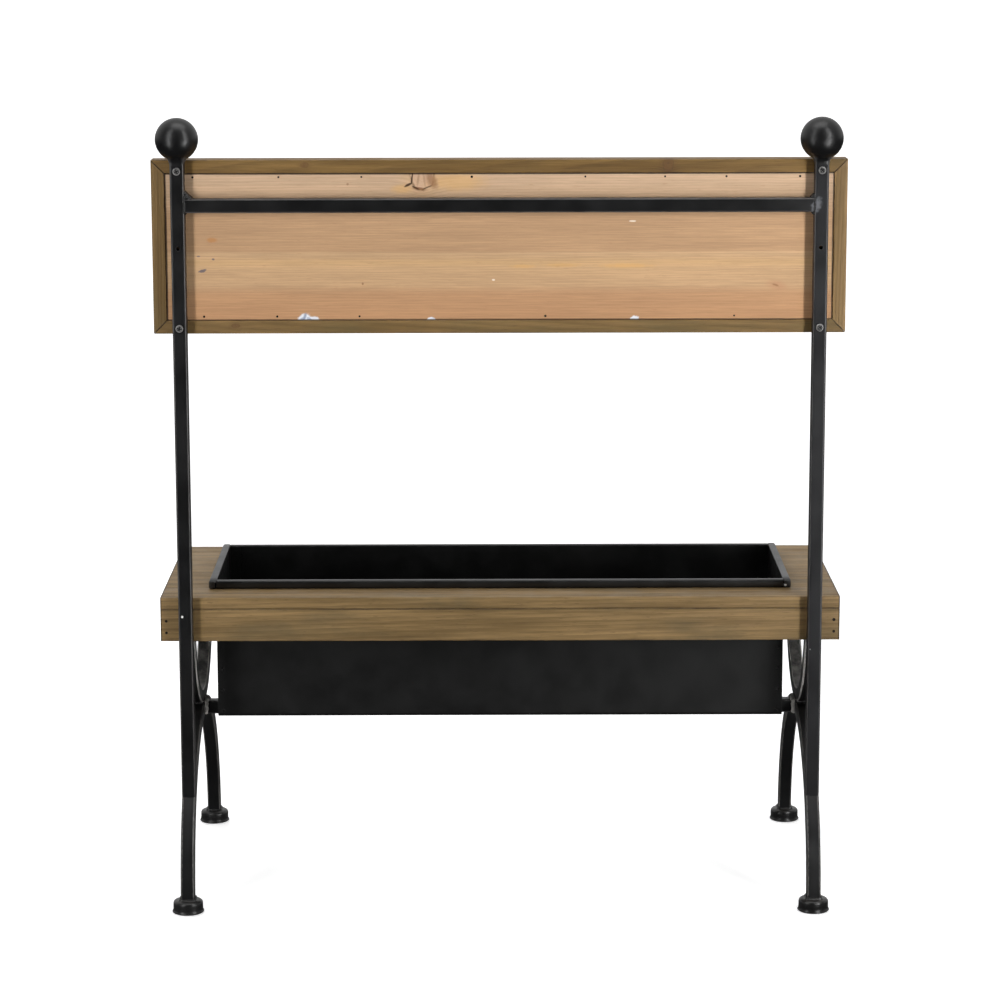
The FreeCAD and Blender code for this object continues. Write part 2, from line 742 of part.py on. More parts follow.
def make_trough_rim():
    blank = box("rim_blank",
                "-(troughLength / 2 + rimWidth)", "troughMiddle - troughWidth / 2 - rimWidth", "benchTop",
                "troughLength + 2 * rimWidth", "troughWidth + 2 * rimWidth", "rimHeight")
    ends = level("troughLength / 2 + rimWidth")
    wide = level("troughWidth / 2 + rimWidth")
    middle = level("troughMiddle")
    mouth_end = level("troughLength / 2 - sheetThickness")
    mouth_side = level("troughInside / 2")
    top = level("rimTop")

    def outside(edge):
        return lies_at(edge, absx=ends) or lies_at(edge, y=middle - wide) or lies_at(edge, y=middle + wide)

    def mouth(edge):
        long_side = lies_at(edge, z=top, y=middle - mouth_side) or lies_at(edge, z=top, y=middle + mouth_side)
        return long_side or lies_at(edge, z=top, absx=mouth_end)

    roll = eased("rim_roll", blank, "rimRound", outside)
    wall = box("rim_wall", "-troughLength / 2", "troughMiddle - troughWidth / 2", "0",
               "troughLength", "troughWidth", "wallTop")
    opening = box("rim_opening", "sheetThickness - troughLength / 2", "troughMiddle - troughInside / 2", "0",
                  "troughLength - 2 * sheetThickness", "troughInside", "2 * rimTop")
    ring = cut("rim_ring", roll, wall, opening)
    finished(eased("trough_rim", ring, "mouthRound", mouth), "trough_rim")


def make_spot_welds():
    marks = []
    walls = (("front", "troughMiddle - troughWidth / 2 - spotHeight"),
             ("rear", "troughMiddle + troughWidth / 2"))
    for wall, y in walls:
        for side, way in sides.items():
            for number in range(spot_rows):
                x = "%d * (troughLength / 2 - spotInset)" % way
                z = "troughBottom + spotLow + %d * spotPitch" % number
                name = "spot_%s_%s_%d" % (wall, side, number + 1)
                marks.append(rod(name, "y", "spotDiameter / 2", "spotHeight", x, y, z))
    finished(group("trough_spot_welds", marks), "trough_spot_welds")


def make_trough():
    make_trough_wrap()
    for side, way in sides.items():
        make_trough_end(side, way)
    make_trough_rim()
    make_spot_welds()


def check_and_write():
    doc.recompute()
    for thing in doc.Objects:
        if "Invalid" in thing.State or "Error" in thing.State:
            raise RuntimeError("%s failed: %s" % (thing.Name, thing.State))
    for thing in sub_parts:
        if thing.Shape.isNull() or not thing.Shape.isValid() or not thing.Shape.Solids:
            raise RuntimeError("%s has no valid solid" % thing.Label)
    os.makedirs("parts", exist_ok=True)
    for thing in sub_parts:
        thing.Shape.exportStep("parts/%s.step" % thing.Label)
        print("%-20s %2d solids %12.1f mm3" % (thing.Label, len(thing.Shape.Solids), thing.Shape.Volume))


fill_sheet()
make_steel_frame()
make_bench()
make_sign()
make_trough()
check_and_write()
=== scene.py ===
import math
import bmesh
import bpy
from mathutils import Matrix, Vector, noise


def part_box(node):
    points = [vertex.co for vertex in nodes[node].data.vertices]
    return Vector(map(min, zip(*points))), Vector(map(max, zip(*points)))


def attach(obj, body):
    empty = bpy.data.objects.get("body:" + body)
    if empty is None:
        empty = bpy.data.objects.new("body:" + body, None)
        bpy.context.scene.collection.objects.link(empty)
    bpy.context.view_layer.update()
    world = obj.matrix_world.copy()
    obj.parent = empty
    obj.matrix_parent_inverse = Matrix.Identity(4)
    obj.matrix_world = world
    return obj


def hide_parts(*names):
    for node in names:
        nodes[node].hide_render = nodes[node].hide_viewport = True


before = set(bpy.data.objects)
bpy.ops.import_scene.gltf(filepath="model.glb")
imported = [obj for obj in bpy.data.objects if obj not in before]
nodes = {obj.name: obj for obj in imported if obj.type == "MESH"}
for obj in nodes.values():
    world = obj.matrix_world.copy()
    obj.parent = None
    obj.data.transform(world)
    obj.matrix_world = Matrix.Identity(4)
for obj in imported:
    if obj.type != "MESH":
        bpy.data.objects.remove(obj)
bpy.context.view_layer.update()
scene = bpy.context.scene
mm = 0.001        # metres in a millimetre
sides = ("left", "right")
rearward = (0.0, 1.0, 0.0)
frontward = (0.0, -1.0, 0.0)
downward = (0.0, 0.0, -1.0)
print("frame loaded:", len(nodes), "nodes")


def inMetres(**sizes):
    # Settings that are written in millimetres
    return {name: size * mm for name, size in sizes.items()}


# Node helpers
def feed(tree, socket, value):
    if isinstance(value, bpy.types.NodeSocket):
        tree.links.new(value, socket)
    else:
        socket.default_value = value


def give(tree, sockets, values):
    for name, value in values.items():
        feed(tree, sockets[name], value)


def place(tree, kind, inputs, **settings):
    node = tree.nodes.new(kind)
    for name, value in settings.items():
        setattr(node, name, value)
    give(tree, node.inputs, inputs)
    return node


def maths(tree, operation, *values):
    return place(tree, "ShaderNodeMath", dict(enumerate(values)), operation=operation).outputs[0]


def times(tree, first, second):
    return maths(tree, "MULTIPLY", first, second)


def greatest(tree, first, second):
    return maths(tree, "MAXIMUM", first, second)


def vectors(tree, operation, *values):
    node = place(tree, "ShaderNodeVectorMath", dict(enumerate(values)), operation=operation)
    return node.outputs["Value" if operation in ("LENGTH", "DOT_PRODUCT") else "Vector"]


def stretched(tree, vector, factors):
    return vectors(tree, "MULTIPLY", vector, factors)


def axes(tree, vector):
    return place(tree, "ShaderNodeSeparateXYZ", {0: vector}).outputs


def joined(tree, x, y, z):
    return place(tree, "ShaderNodeCombineXYZ", {0: x, 1: y, 2: z}).outputs[0]


def normalOf(tree):
    return tree.nodes.new("ShaderNodeNewGeometry").outputs["Normal"]


def mottle(tree, vector, scale, detail=2.0, rough=0.5):
    inputs = {"Vector": vector, "Scale": scale, "Detail": detail, "Roughness": rough}
    return place(tree, "ShaderNodeTexNoise", inputs).outputs


def jitter(tree, vector, scale, detail):
    # A direction that wanders to all sides
    return vectors(tree, "SUBTRACT", mottle(tree, vector, scale, detail)[1], (0.5, 0.5, 0.5))


def spread(tree, value, low, high, start=0.0, end=1.0):
    inputs = {"Value": value, "From Min": low, "From Max": high, "To Min": start, "To Max": end}
    return place(tree, "ShaderNodeMapRange", inputs, interpolation_type="SMOOTHSTEP").outputs[0]


def mixed(tree, factor, first, second, mode="MIX"):
    inputs = {0: factor, 6: first, 7: second}        # the colour sockets of a Mix node
    return place(tree, "ShaderNodeMix", inputs, data_type="RGBA", blend_type=mode).outputs[2]


def over(tree, base, cover, depth, colour):
    return mixed(tree, times(tree, cover, depth), base, colour)


def shaded(tree, colour, factor):
    return mixed(tree, 1.0, colour, joined(tree, factor, factor, factor), "MULTIPLY")


def steps(tree, factor, stops):
    node = place(tree, "ShaderNodeValToRGB", {0: factor})
    ramp = node.color_ramp
    ramp.elements[0].position, ramp.elements[0].color = stops[0]
    ramp.elements[1].position, ramp.elements[1].color = stops[-1]
    for position, colour in stops[1:-1]:
        ramp.elements.new(position).color = colour
    return node.outputs[0]


def tint(red, green, blue):
    def linear(level):
        share = level / 255
        return share / 12.92 if share < 0.04045 else ((share + 0.055) / 1.055) ** 2.4
    return (linear(red), linear(green), linear(blue), 1.0)


def grey(level):
    return (level, level, level, 1.0)


def newGroup(name, inputs, outputs, treeKind="ShaderNodeTree"):
    tree = bpy.data.node_groups.new(name, treeKind)
    for label, kind, value in inputs:
        socket = tree.interface.new_socket(label, in_out="INPUT", socket_type="NodeSocket" + kind)
        if value is not None:
            socket.default_value = value
    for label, kind in outputs:
        tree.interface.new_socket(label, in_out="OUTPUT", socket_type="NodeSocket" + kind)
    return tree, tree.nodes.new("NodeGroupInput").outputs, tree.nodes.new("NodeGroupOutput").inputs


def floats(*names):
    return [(name, "Float") for name in names]


def useGroup(tree, group, inputs):
    return place(tree, "ShaderNodeGroup", inputs, node_tree=group).outputs


def newMaterial(name):
    material = bpy.data.materials.new(name)
    material.use_nodes = True
    tree = material.node_tree
    tree.nodes.clear()
    surface = tree.nodes.new("ShaderNodeBsdfPrincipled")
    output = tree.nodes.new("ShaderNodeOutputMaterial")
    tree.links.new(surface.outputs[0], output.inputs["Surface"])
    spot = tree.nodes.new("ShaderNodeTexCoord").outputs["Object"]
    return material, tree, surface, spot


def coat(tree, surface, base, rough, gloss):
    give(tree, surface.inputs, {"Base Color": base, "Roughness": rough, "Specular IOR Level": gloss})


def bumped(tree, surface, height, strength, distance):
    bump = place(tree, "ShaderNodeBump", {"Height": height, "Strength": strength, "Distance": distance})
    tree.links.new(bump.outputs[0], surface.inputs["Normal"])


# Effects that several finishes share
def makeGrain():
    # Softwood sawn lengthways along X: growth rings about a pith beside the board, fibres and pores
    tree, given, result = newGroup("boardGrain", [
        ("Vector", "Vector", None), ("Pith", "Vector", (0.0, 0.05, -0.16)), ("Ring Size", "Float", 0.004),
        ("Waver", "Float", 0.006), ("Fibre Size", "Float", 0.0009),
    ], floats("Rings", "Fibre", "Pores", "Streak", "Height"))
    spot = given["Vector"]
    drawn = stretched(tree, spot, (0.05, 1.0, 1.0))
    sway = stretched(tree, jitter(tree, drawn, 20.0, 2.0), given["Waver"])
    bent = vectors(tree, "ADD", spot, sway)
    fromPith = axes(tree, vectors(tree, "SUBTRACT", bent, given["Pith"]))
    taper = maths(tree, "MULTIPLY_ADD", fromPith[0], 0.035, fromPith[1])
    radius = vectors(tree, "LENGTH", joined(tree, 0.0, taper, fromPith[2]))
    turn = maths(tree, "FRACT", maths(tree, "DIVIDE", radius, given["Ring Size"]))
    late = times(tree, spread(tree, turn, 0.25, 0.86), spread(tree, turn, 0.99, 0.9))
    thread = stretched(tree, spot, (0.028, 1.0, 1.0))
    fine = maths(tree, "DIVIDE", 1.0, given["Fibre Size"])
    fibre = mottle(tree, thread, fine, 4.0, 0.62)[0]
    dash = stretched(tree, spot, (0.07, 1.0, 1.0))
    pores = spread(tree, mottle(tree, dash, times(tree, fine, 1.3), 1.0)[0], 0.66, 0.74)
    streak = mottle(tree, drawn, 90.0, 4.0, 0.6)[0]
    height = maths(tree, "SUBTRACT", maths(tree, "MULTIPLY_ADD", late, 0.5, fibre), pores)
    give(tree, result, {"Rings": late, "Fibre": fibre, "Pores": pores, "Streak": streak, "Height": height})
    return tree


def makeKnot():
    # A branch cut across: a core, its cracked outline, a warm halo, and how far it pushes the grain aside
    tree, given, result = newGroup("branchKnot", [
        ("Vector", "Vector", None), ("Centre", "Vector", (0.0, 0.0, 0.0)),
        ("Radii", "Vector", (0.012, 0.03, 0.016)), ("Push", "Float", 0.008),
    ], floats("Core", "Outline", "Halo") + [("Side", "Vector")])
    spot = given["Vector"]
    away = vectors(tree, "SUBTRACT", spot, given["Centre"])
    shake = stretched(tree, jitter(tree, spot, 160.0, 3.0), (0.5, 0.5, 0.5))
    ragged = vectors(tree, "ADD", vectors(tree, "DIVIDE", away, given["Radii"]), shake)
    reach = vectors(tree, "LENGTH", ragged)
    crack = times(tree, spread(tree, reach, 0.86, 0.97), spread(tree, reach, 1.12, 1.0))
    broken = spread(tree, mottle(tree, spot, 95.0, 2.0)[0], 0.38, 0.56, 0.15, 1.0)
    years = maths(tree, "FRACT", times(tree, reach, 4.5))
    inside = times(tree, spread(tree, reach, 1.0, 0.8), spread(tree, years, 0.2, 0.9, 0.55, 1.0))
    fade = maths(tree, "EXPONENT", times(tree, maths(tree, "POWER", reach, 2.0), -0.35))
    push = times(tree, fade, given["Push"])
    aside = stretched(tree, vectors(tree, "NORMALIZE", away), push)
    give(tree, result, {
        "Core": inside, "Outline": times(tree, crack, broken), "Halo": spread(tree, reach, 2.4, 0.9),
        "Side": stretched(tree, aside, (0.0, -1.0, -1.0)),
    })
    return tree


def makeEdgeWear():
    # Rubbed arrises: where the rounded normal leaves the face, broken up by patches
    tree, given, result = newGroup("rubbedEdges", [
        ("Vector", "Vector", None), ("Radius", "Float", 0.0012), ("Patch", "Float", 60.0),
    ], floats("Wear"))
    eased = place(tree, "ShaderNodeBevel", {"Radius": given["Radius"]}, samples=6).outputs[0]
    edge = spread(tree, vectors(tree, "DOT_PRODUCT", eased, normalOf(tree)), 0.992, 0.88)
    patch = spread(tree, mottle(tree, given["Vector"], given["Patch"], 4.0, 0.65)[0], 0.42, 0.62)
    feed(tree, result["Wear"], times(tree, edge, patch))
    return tree


def makeDustAndTopSheen():
    # Dust on whatever faces upwards, thicker in cloudy patches, and with a pale tint a painted highlight on
    # those faces
    tree, given, result = newGroup("dustAndTopSheen", [
        ("Vector", "Vector", None), ("Amount", "Float", 0.3),
    ], floats("Dust"))
    upwards = axes(tree, normalOf(tree))[2]
    cloud = spread(tree, mottle(tree, given["Vector"], 45.0, 5.0, 0.7)[0], 0.35, 0.7)
    level = times(tree, spread(tree, upwards, 0.35, 0.95), cloud)
    feed(tree, result["Dust"], times(tree, level, given["Amount"]))
    return tree


def makeMark():
    # One ragged patch in the plane of X and Z, such as a paint smear, a crack or a rubbed place
    tree, given, result = newGroup("ruggedMark", [
        ("Vector", "Vector", None), ("Centre", "Vector", (0.0, 0.0, 0.0)),
        ("Size", "Vector", (0.004, 1.0, 0.002)), ("Tilt", "Float", 0.0), ("Ragged", "Float", 0.6),
        ("Soft", "Float", 0.2),
    ], floats("Cover"))
    away = vectors(tree, "SUBTRACT", given["Vector"], given["Centre"])
    level = place(tree, "ShaderNodeVectorRotate", {"Vector": away, "Angle": given["Tilt"]},
                  rotation_type="Y_AXIS").outputs[0]
    shake = stretched(tree, jitter(tree, given["Vector"], 260.0, 3.0), given["Ragged"])
    inside = vectors(tree, "ADD", vectors(tree, "DIVIDE", level, given["Size"]), shake)
    reach = vectors(tree, "LENGTH", stretched(tree, inside, (1.0, 0.0, 1.0)))
    start = maths(tree, "ADD", 1.0, given["Soft"])
    end = maths(tree, "SUBTRACT", 1.0, given["Soft"])
    feed(tree, result["Cover"], spread(tree, reach, start, end))
    return tree


boardGrain = makeGrain()
branchKnot = makeKnot()
ruggedMark = makeMark()
rubbedEdges = makeEdgeWear()
dustAndTopSheen = makeDustAndTopSheen()
print("shared effects ready")


# Finishes
def patchMark(at, wide, high, colour, cover=1.0, tilt=0.0, ragged=0.6, soft=0.2):
    # Width and height in millimetres, tilt in degrees
    shape = {"Centre": at, "Size": (wide * mm, 1.0, high * mm), "Tilt": math.radians(tilt),
             "Ragged": ragged, "Soft": soft}
    return shape, cover, colour


def marked(tree, spot, base, marks):
    for shape, cover, colour in marks:
        patch = useGroup(tree, ruggedMark, dict(shape, Vector=spot))["Cover"]
        base = over(tree, base, patch, cover, colour)
    return base


def tubeCorners(tree, axis):
    # Where a rounded corner turns from the face along this axis to the next face, which the paint lightens
    # as a painted highlight
    facing = axes(tree, normalOf(tree))[axis]
    aside = maths(tree, "SQRT", maths(tree, "SUBTRACT", 1.0, times(tree, facing, facing)))
    return times(tree, 2.0, maths(tree, "ABSOLUTE", times(tree, facing, aside)))


def insideBox(tree, spot, low, high):
    inside = 1.0
    for axis, level in enumerate(axes(tree, spot)):
        inside = times(tree, inside, maths(tree, "GREATER_THAN", level, low[axis]))
        inside = times(tree, inside, maths(tree, "LESS_THAN", level, high[axis]))
    return inside


def blackPaint(name, look):
    material, tree, surface, spot = newMaterial(name)
    wear = useGroup(tree, rubbedEdges, {"Vector": spot, "Radius": look["edge"], "Patch": 90.0})["Wear"]
    dustAndSheen = useGroup(tree, dustAndTopSheen, {"Vector": spot, "Amount": look["dustAndSheen"]})["Dust"]
    cloud = mottle(tree, spot, 30.0, 4.0, 0.6)[0]
    base = mixed(tree, spread(tree, cloud, 0.3, 0.7), look["deep"], look["paint"])
    wearAndHighlight = times(tree, wear, look["wear"])
    # Painted highlight: the rounded corners turn towards the bare colour in patches, besides real edge wear
    if look["thin"]:
        patch = spread(tree, mottle(tree, spot, 40.0, 4.0, 0.6)[0], 0.3, 0.6, 0.45, 1.0)
        corner = spread(tree, tubeCorners(tree, look["cornerAxis"]), 0.3, 0.95)
        wearAndHighlight = greatest(tree, wearAndHighlight, times(tree, times(tree, corner, patch), look["thin"]))
    base = mixed(tree, wearAndHighlight, base, look["bareAndHighlight"])
    base = mixed(tree, dustAndSheen, base, look["dustAndSheenTint"])
    base = marked(tree, spot, base, look["marks"])
    matt = spread(tree, cloud, 0.25, 0.75, look["rough"] - 0.06, look["rough"] + 0.06)
    matt = maths(tree, "MULTIPLY_ADD", dustAndSheen, 0.3, matt)
    # Painted shade: inside the hollow box the paint turns to the darker inner colour
    if look["hollow"]:
        within = insideBox(tree, spot, *look["hollow"])
        base = mixed(tree, within, base, look["inner"])
        matt = maths(tree, "MULTIPLY_ADD", within, -0.08, matt)
    coat(tree, surface, base, matt, look["gloss"])
    peel = mottle(tree, spot, look["peel"], 2.0)[0]
    lumps = mottle(tree, spot, look["lumpSize"], 2.0)[0]
    bumped(tree, surface, maths(tree, "MULTIPLY_ADD", lumps, look["lumps"], peel), look["bump"], 0.0004)
    return material


steelLook = dict(
    paint=(0.0034, 0.0034, 0.0039, 1.0), deep=(0.0018, 0.0018, 0.0021, 1.0), bareAndHighlight=tint(122, 119, 118),
    dustAndSheenTint=tint(120, 112, 100), rough=0.38, gloss=0.5, edge=0.0011, wear=0.30, dustAndSheen=0.05,
    peel=900.0, lumps=1.2, lumpSize=60.0, bump=0.10, marks=[],
    thin=0.36, cornerAxis=0, hollow=None, inner=grey(0.0010),
)
# Painted highlight and reflection on the arcs: lighter paint, a near-white bare colour, strong corner
# highlights and pale dust on upward faces
arcHighlightLook = dict(steelLook, paint=grey(0.0060), bareAndHighlight=tint(205, 202, 197), gloss=0.6, rough=0.36, thin=0.9,
               dustAndSheen=0.3, dustAndSheenTint=tint(196, 193, 187))
legLook = dict(steelLook, bareAndHighlight=tint(160, 157, 153), thin=0.36)
ballLook = dict(steelLook, rough=0.36, wear=0.0, dustAndSheen=0.03, lumps=2.5, lumpSize=110.0, thin=0.0)
troughLow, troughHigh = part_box("trough_wrap")
sheetSkin = 0.5 * mm
# Painted shade: inside the trough, within the hollow box, the sheet gets the darker inner colour
sheetLook = dict(steelLook, paint=grey(0.0054), deep=grey(0.0034), rough=0.44, wear=0.22, dustAndSheen=0.0,
                 lumps=1.4, lumpSize=14.0, bump=0.14, thin=0.0,
                 hollow=(troughLow + Vector((sheetSkin, sheetSkin, sheetSkin)),
                         troughHigh + Vector((-sheetSkin, -sheetSkin, sheetSkin))))
rimSpeck = patchMark((troughLow.x - 1.0 * mm, troughHigh.y, troughHigh.z - 3.6 * mm), 1.2, 1.0,
                     tint(238, 238, 236), ragged=0.4, soft=0.15)
rimLook = dict(sheetLook, paint=grey(0.0052), rough=0.36, gloss=0.55, wear=0.45, dustAndSheen=0.16, hollow=None,
               dustAndSheenTint=tint(112, 112, 114), marks=[rimSpeck])
footLook = dict(steelLook, paint=grey(0.011), deep=grey(0.006), rough=0.32, wear=0.1, dustAndSheen=0.08, peel=600.0,
                bump=0.08, lumps=2.0, lumpSize=160.0, thin=0.0)
weldLook = dict(steelLook, paint=grey(0.012), deep=grey(0.004), bareAndHighlight=tint(140, 134, 126), rough=0.40,
                wear=0.75, edge=0.0008, lumps=1.0, lumpSize=500.0, bump=0.3, thin=0.0)
# Painted highlight: the bare stretcher weld is coloured near white
bareWeldHighlightLook = dict(weldLook, paint=tint(238, 235, 229), deep=tint(178, 174, 168), gloss=0.6)
screwLook = dict(steelLook, paint=grey(0.010), deep=grey(0.005), bareAndHighlight=tint(150, 149, 147), rough=0.32,
                 edge=0.0003, dustAndSheen=0.02, thin=0.85, cornerAxis=1)
# Painted shade: the spot weld dimples are darker than the sheet around them
spotShadeLook = dict(sheetLook, paint=grey(0.0022), deep=grey(0.0014), wear=0.0, hollow=None)
nailLook = dict(steelLook, paint=tint(34, 25, 20), deep=tint(14, 11, 10), rough=0.6, gloss=0.2, wear=0.04,
                edge=0.0003, dustAndSheen=0.0, bump=0.3, thin=0.0)

blackSteel = blackPaint("blackSteel", steelLook)
blackArcPaintedHighlight = blackPaint("blackArcPaintedHighlight", arcHighlightLook)
blackLeg = blackPaint("blackLeg", legLook)
blackBall = blackPaint("blackBall", ballLook)
blackSheet = blackPaint("blackSheet", sheetLook)
blackRim = blackPaint("blackRim", rimLook)
footPlastic = blackPaint("footPlastic", footLook)
weldMetal = blackPaint("weldMetal", weldLook)
bareWeldPaintedHighlight = blackPaint("bareWeldPaintedHighlight", bareWeldHighlightLook)
screwMetal = blackPaint("screwMetal", screwLook)
spotMetalPaintedShade = blackPaint("spotMetalPaintedShade", spotShadeLook)
nailMetal = blackPaint("nailMetal", nailLook)

# Each post has its own marks: a chip of paint gone, and a place ground bright at the end of the rail. The
# left post's paint is lighter and bluer, a painted sheen
postLines = {}
for side in sides:
    lowest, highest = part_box("post_" + side)
    postLines[side] = (lowest.x + highest.x) / 2
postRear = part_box("post_right")[1].y


def postMark(side, across, height, *shape, **changes):
    return patchMark((postLines[side] + across * mm, postRear, height * mm), *shape, **changes)


chipMark = postMark("right", 3.0, 299, 1.1, 1.3, tint(236, 236, 232), ragged=0.5, soft=0.15)
groundMark = postMark("left", 5.4, 711, 4.2, 7.0, tint(118, 120, 125), 0.55, 24.0, 1.4, 0.35)
speckMark = postMark("left", 4.5, 264, 0.6, 0.7, tint(150, 150, 150), 0.8, ragged=0.4)
# Painted sheen: this post's paint is lighter and bluer than the other post's
paintedSheenLook = dict(steelLook, paint=(0.0050, 0.0050, 0.0064, 1.0), deep=(0.0034, 0.0034, 0.0044, 1.0),
                thin=0.30)
postPaint = {
    "right": blackPaint("postPaintRight", dict(steelLook, marks=[chipMark])),
    "left": blackPaint("postPaintLeftPaintedSheen", dict(paintedSheenLook, marks=[groundMark, speckMark])),
}
blackRail = blackPaint("blackRail", dict(steelLook, cornerAxis=1, marks=[groundMark]))


def woodGrain(tree, spot, laid, look):
    # Grain that flows round the knots, and where the cores, outlines and halos of the knots are
    cover = {"Core": 0.0, "Outline": 0.0, "Halo": 0.0}
    for centre, radii, push in look["knots"]:
        knot = useGroup(tree, branchKnot, {"Vector": spot, "Centre": centre, "Radii": radii, "Push": push})
        for name in cover:
            cover[name] = greatest(tree, cover[name], knot[name])
        laid = vectors(tree, "ADD", laid, knot["Side"])
    grain = useGroup(tree, boardGrain, {"Vector": laid, "Pith": look["pith"], "Ring Size": look["ring"],
                                        "Waver": look["waver"], "Fibre Size": look["fibre"]})
    return laid, grain, cover


def seamGrime(tree, spot, lines):
    # Darkening beside a seam or a board end, on the faces that the line crosses: dirt at seams and mitres,
    # painted shade along the bench board ends
    grimeAndShade = 0.0
    facing = normalOf(tree)
    for across, position, reach in lines:
        level = vectors(tree, "DOT_PRODUCT", spot, across)
        off = maths(tree, "ABSOLUTE", maths(tree, "SUBTRACT", level, position))
        turned = maths(tree, "ABSOLUTE", vectors(tree, "DOT_PRODUCT", facing, across))
        line = times(tree, spread(tree, off, reach, reach * 0.3), spread(tree, turned, 0.8, 0.4))
        grimeAndShade = greatest(tree, grimeAndShade, line)
    patch = spread(tree, mottle(tree, spot, 24.0, 3.0)[0], 0.36, 0.6, 0.75, 1.0)
    return times(tree, grimeAndShade, patch)


def stainedWood(name, look):
    material, tree, surface, spot = newMaterial(name)
    laid = place(tree, "ShaderNodeMapping", {"Vector": spot, "Location": look["shift"],
                                             "Rotation": look["turn"]}).outputs[0]
    wear = useGroup(tree, rubbedEdges, {"Vector": spot, "Radius": look["edge"], "Patch": 45.0})["Wear"]
    dustAndSheen = useGroup(tree, dustAndTopSheen, {"Vector": spot, "Amount": look["dustAndSheen"]})["Dust"]
    laid, grain, knot = woodGrain(tree, spot, laid, look)
    base = mixed(tree, spread(tree, grain["Streak"], 0.3, 0.72), look["dark"], look["light"])
    base = over(tree, base, grain["Rings"], look["ringDepth"], look["late"])
    base = shaded(tree, base, spread(tree, grain["Fibre"], 0.28, 0.75, 0.84, 1.10))
    base = over(tree, base, grain["Pores"], 0.45, look["late"])
    drift = stretched(tree, laid, (0.25, 1.0, 1.0))
    cloud = mottle(tree, drift, look["smudgeSize"], 5.0, 0.62)[0]
    base = over(tree, base, spread(tree, cloud, 0.5, 0.72), look["smudge"], look["smudgeTint"])
    base = over(tree, base, knot["Halo"], 0.25, look["knotTint"])
    base = over(tree, base, knot["Core"], 0.5, look["knotTint"])
    base = over(tree, base, knot["Outline"], 0.6, look["late"])
    base = over(tree, base, wear, look["wear"], look["raw"])
    base = mixed(tree, dustAndSheen, base, look["dustAndSheenTint"])
    base = over(tree, base, seamGrime(tree, spot, look["grimeAndShade"]), look["grimeAndShadeDepth"], look["grimeAndShadeTint"])
    coat(tree, surface, base, spread(tree, grain["Fibre"], 0.3, 0.7, 0.62, 0.5), 0.3)
    bumped(tree, surface, grain["Height"], 0.35, 0.0005)
    return material


benchLook = dict(
    dark=tint(117, 94, 58), light=tint(154, 126, 83), late=tint(76, 60, 40), raw=tint(178, 150, 112),
    knotTint=tint(92, 62, 38), smudgeTint=tint(76, 73, 56), dustAndSheenTint=tint(148, 136, 118),
    pith=(0.0, 0.03, 0.12), ring=0.0042, waver=0.008, fibre=0.0009, ringDepth=0.24,
    smudge=0.45, smudgeSize=22.0, edge=0.0014, wear=0.55, dustAndSheen=0.26, knots=[],
    grimeAndShadeDepth=0.92, grimeAndShadeTint=tint(28, 20, 13),
)
frameLook = dict(benchLook, dark=tint(112, 88, 51), light=tint(143, 114, 71), late=tint(82, 62, 36),
                 smudgeTint=tint(92, 88, 60), ring=0.0030, ringDepth=0.25, smudge=0.4, smudgeSize=18.0,
                 fibre=0.0008, dustAndSheen=0.3, wear=0.4, pith=(0.0, 0.09, 0.74))
panelLow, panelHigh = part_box("sign_panel")


def rawPine(name, look):
    # Unpainted behind, chalky white paint on the front, which ran under the lower edge here and there
    material, tree, surface, spot = newMaterial(name)
    depth, up = axes(tree, spot)[1:3]
    laid, grain, knot = woodGrain(tree, spot, spot, look)
    slow = stretched(tree, laid, (0.12, 1.0, 1.0))
    sway = maths(tree, "MULTIPLY_ADD", mottle(tree, slow, 22.0, 3.0)[0], look["bandSway"], up)
    level = maths(tree, "DIVIDE", maths(tree, "SUBTRACT", sway, panelLow.z), panelHigh.z - panelLow.z)
    base = steps(tree, level, look["bands"])
    base = shaded(tree, base, spread(tree, grain["Streak"], 0.25, 0.75, 0.90, 1.07))
    base = over(tree, base, grain["Rings"], 0.13, look["late"])
    base = shaded(tree, base, spread(tree, grain["Fibre"], 0.3, 0.72, 0.90, 1.07))
    base = over(tree, base, grain["Pores"], 0.22, look["late"])
    base = over(tree, base, knot["Halo"], 0.16, look["gold"])
    base = over(tree, base, knot["Core"], 0.6, look["coreTint"])
    base = over(tree, base, knot["Outline"], 0.6, look["crack"])
    base = marked(tree, spot, base, look["marks"])
    painted = spread(tree, depth, panelLow.y + 0.6 * mm, panelLow.y + 0.2 * mm)
    rub = spread(tree, grain["Fibre"], 0.62, 0.72)
    chalk = over(tree, look["chalk"], rub, 0.35, look["chalkThin"])
    rough = spread(tree, grain["Fibre"], 0.3, 0.7, 0.72, 0.6)
    coat(tree, surface, mixed(tree, painted, base, chalk), rough, 0.25)
    bumped(tree, surface, grain["Height"], 0.25, 0.0004)
    return material


def onPanel(fromRight, fromTop):
    # A spot on the raw panel, measured in millimetres from its +X edge and its top
    return (panelHigh.x - fromRight * mm, panelHigh.y, panelHigh.z - fromTop * mm)


def panelMark(fromRight, fromTop, *shape, **changes):
    return patchMark(onPanel(fromRight, fromTop), *shape, **changes)


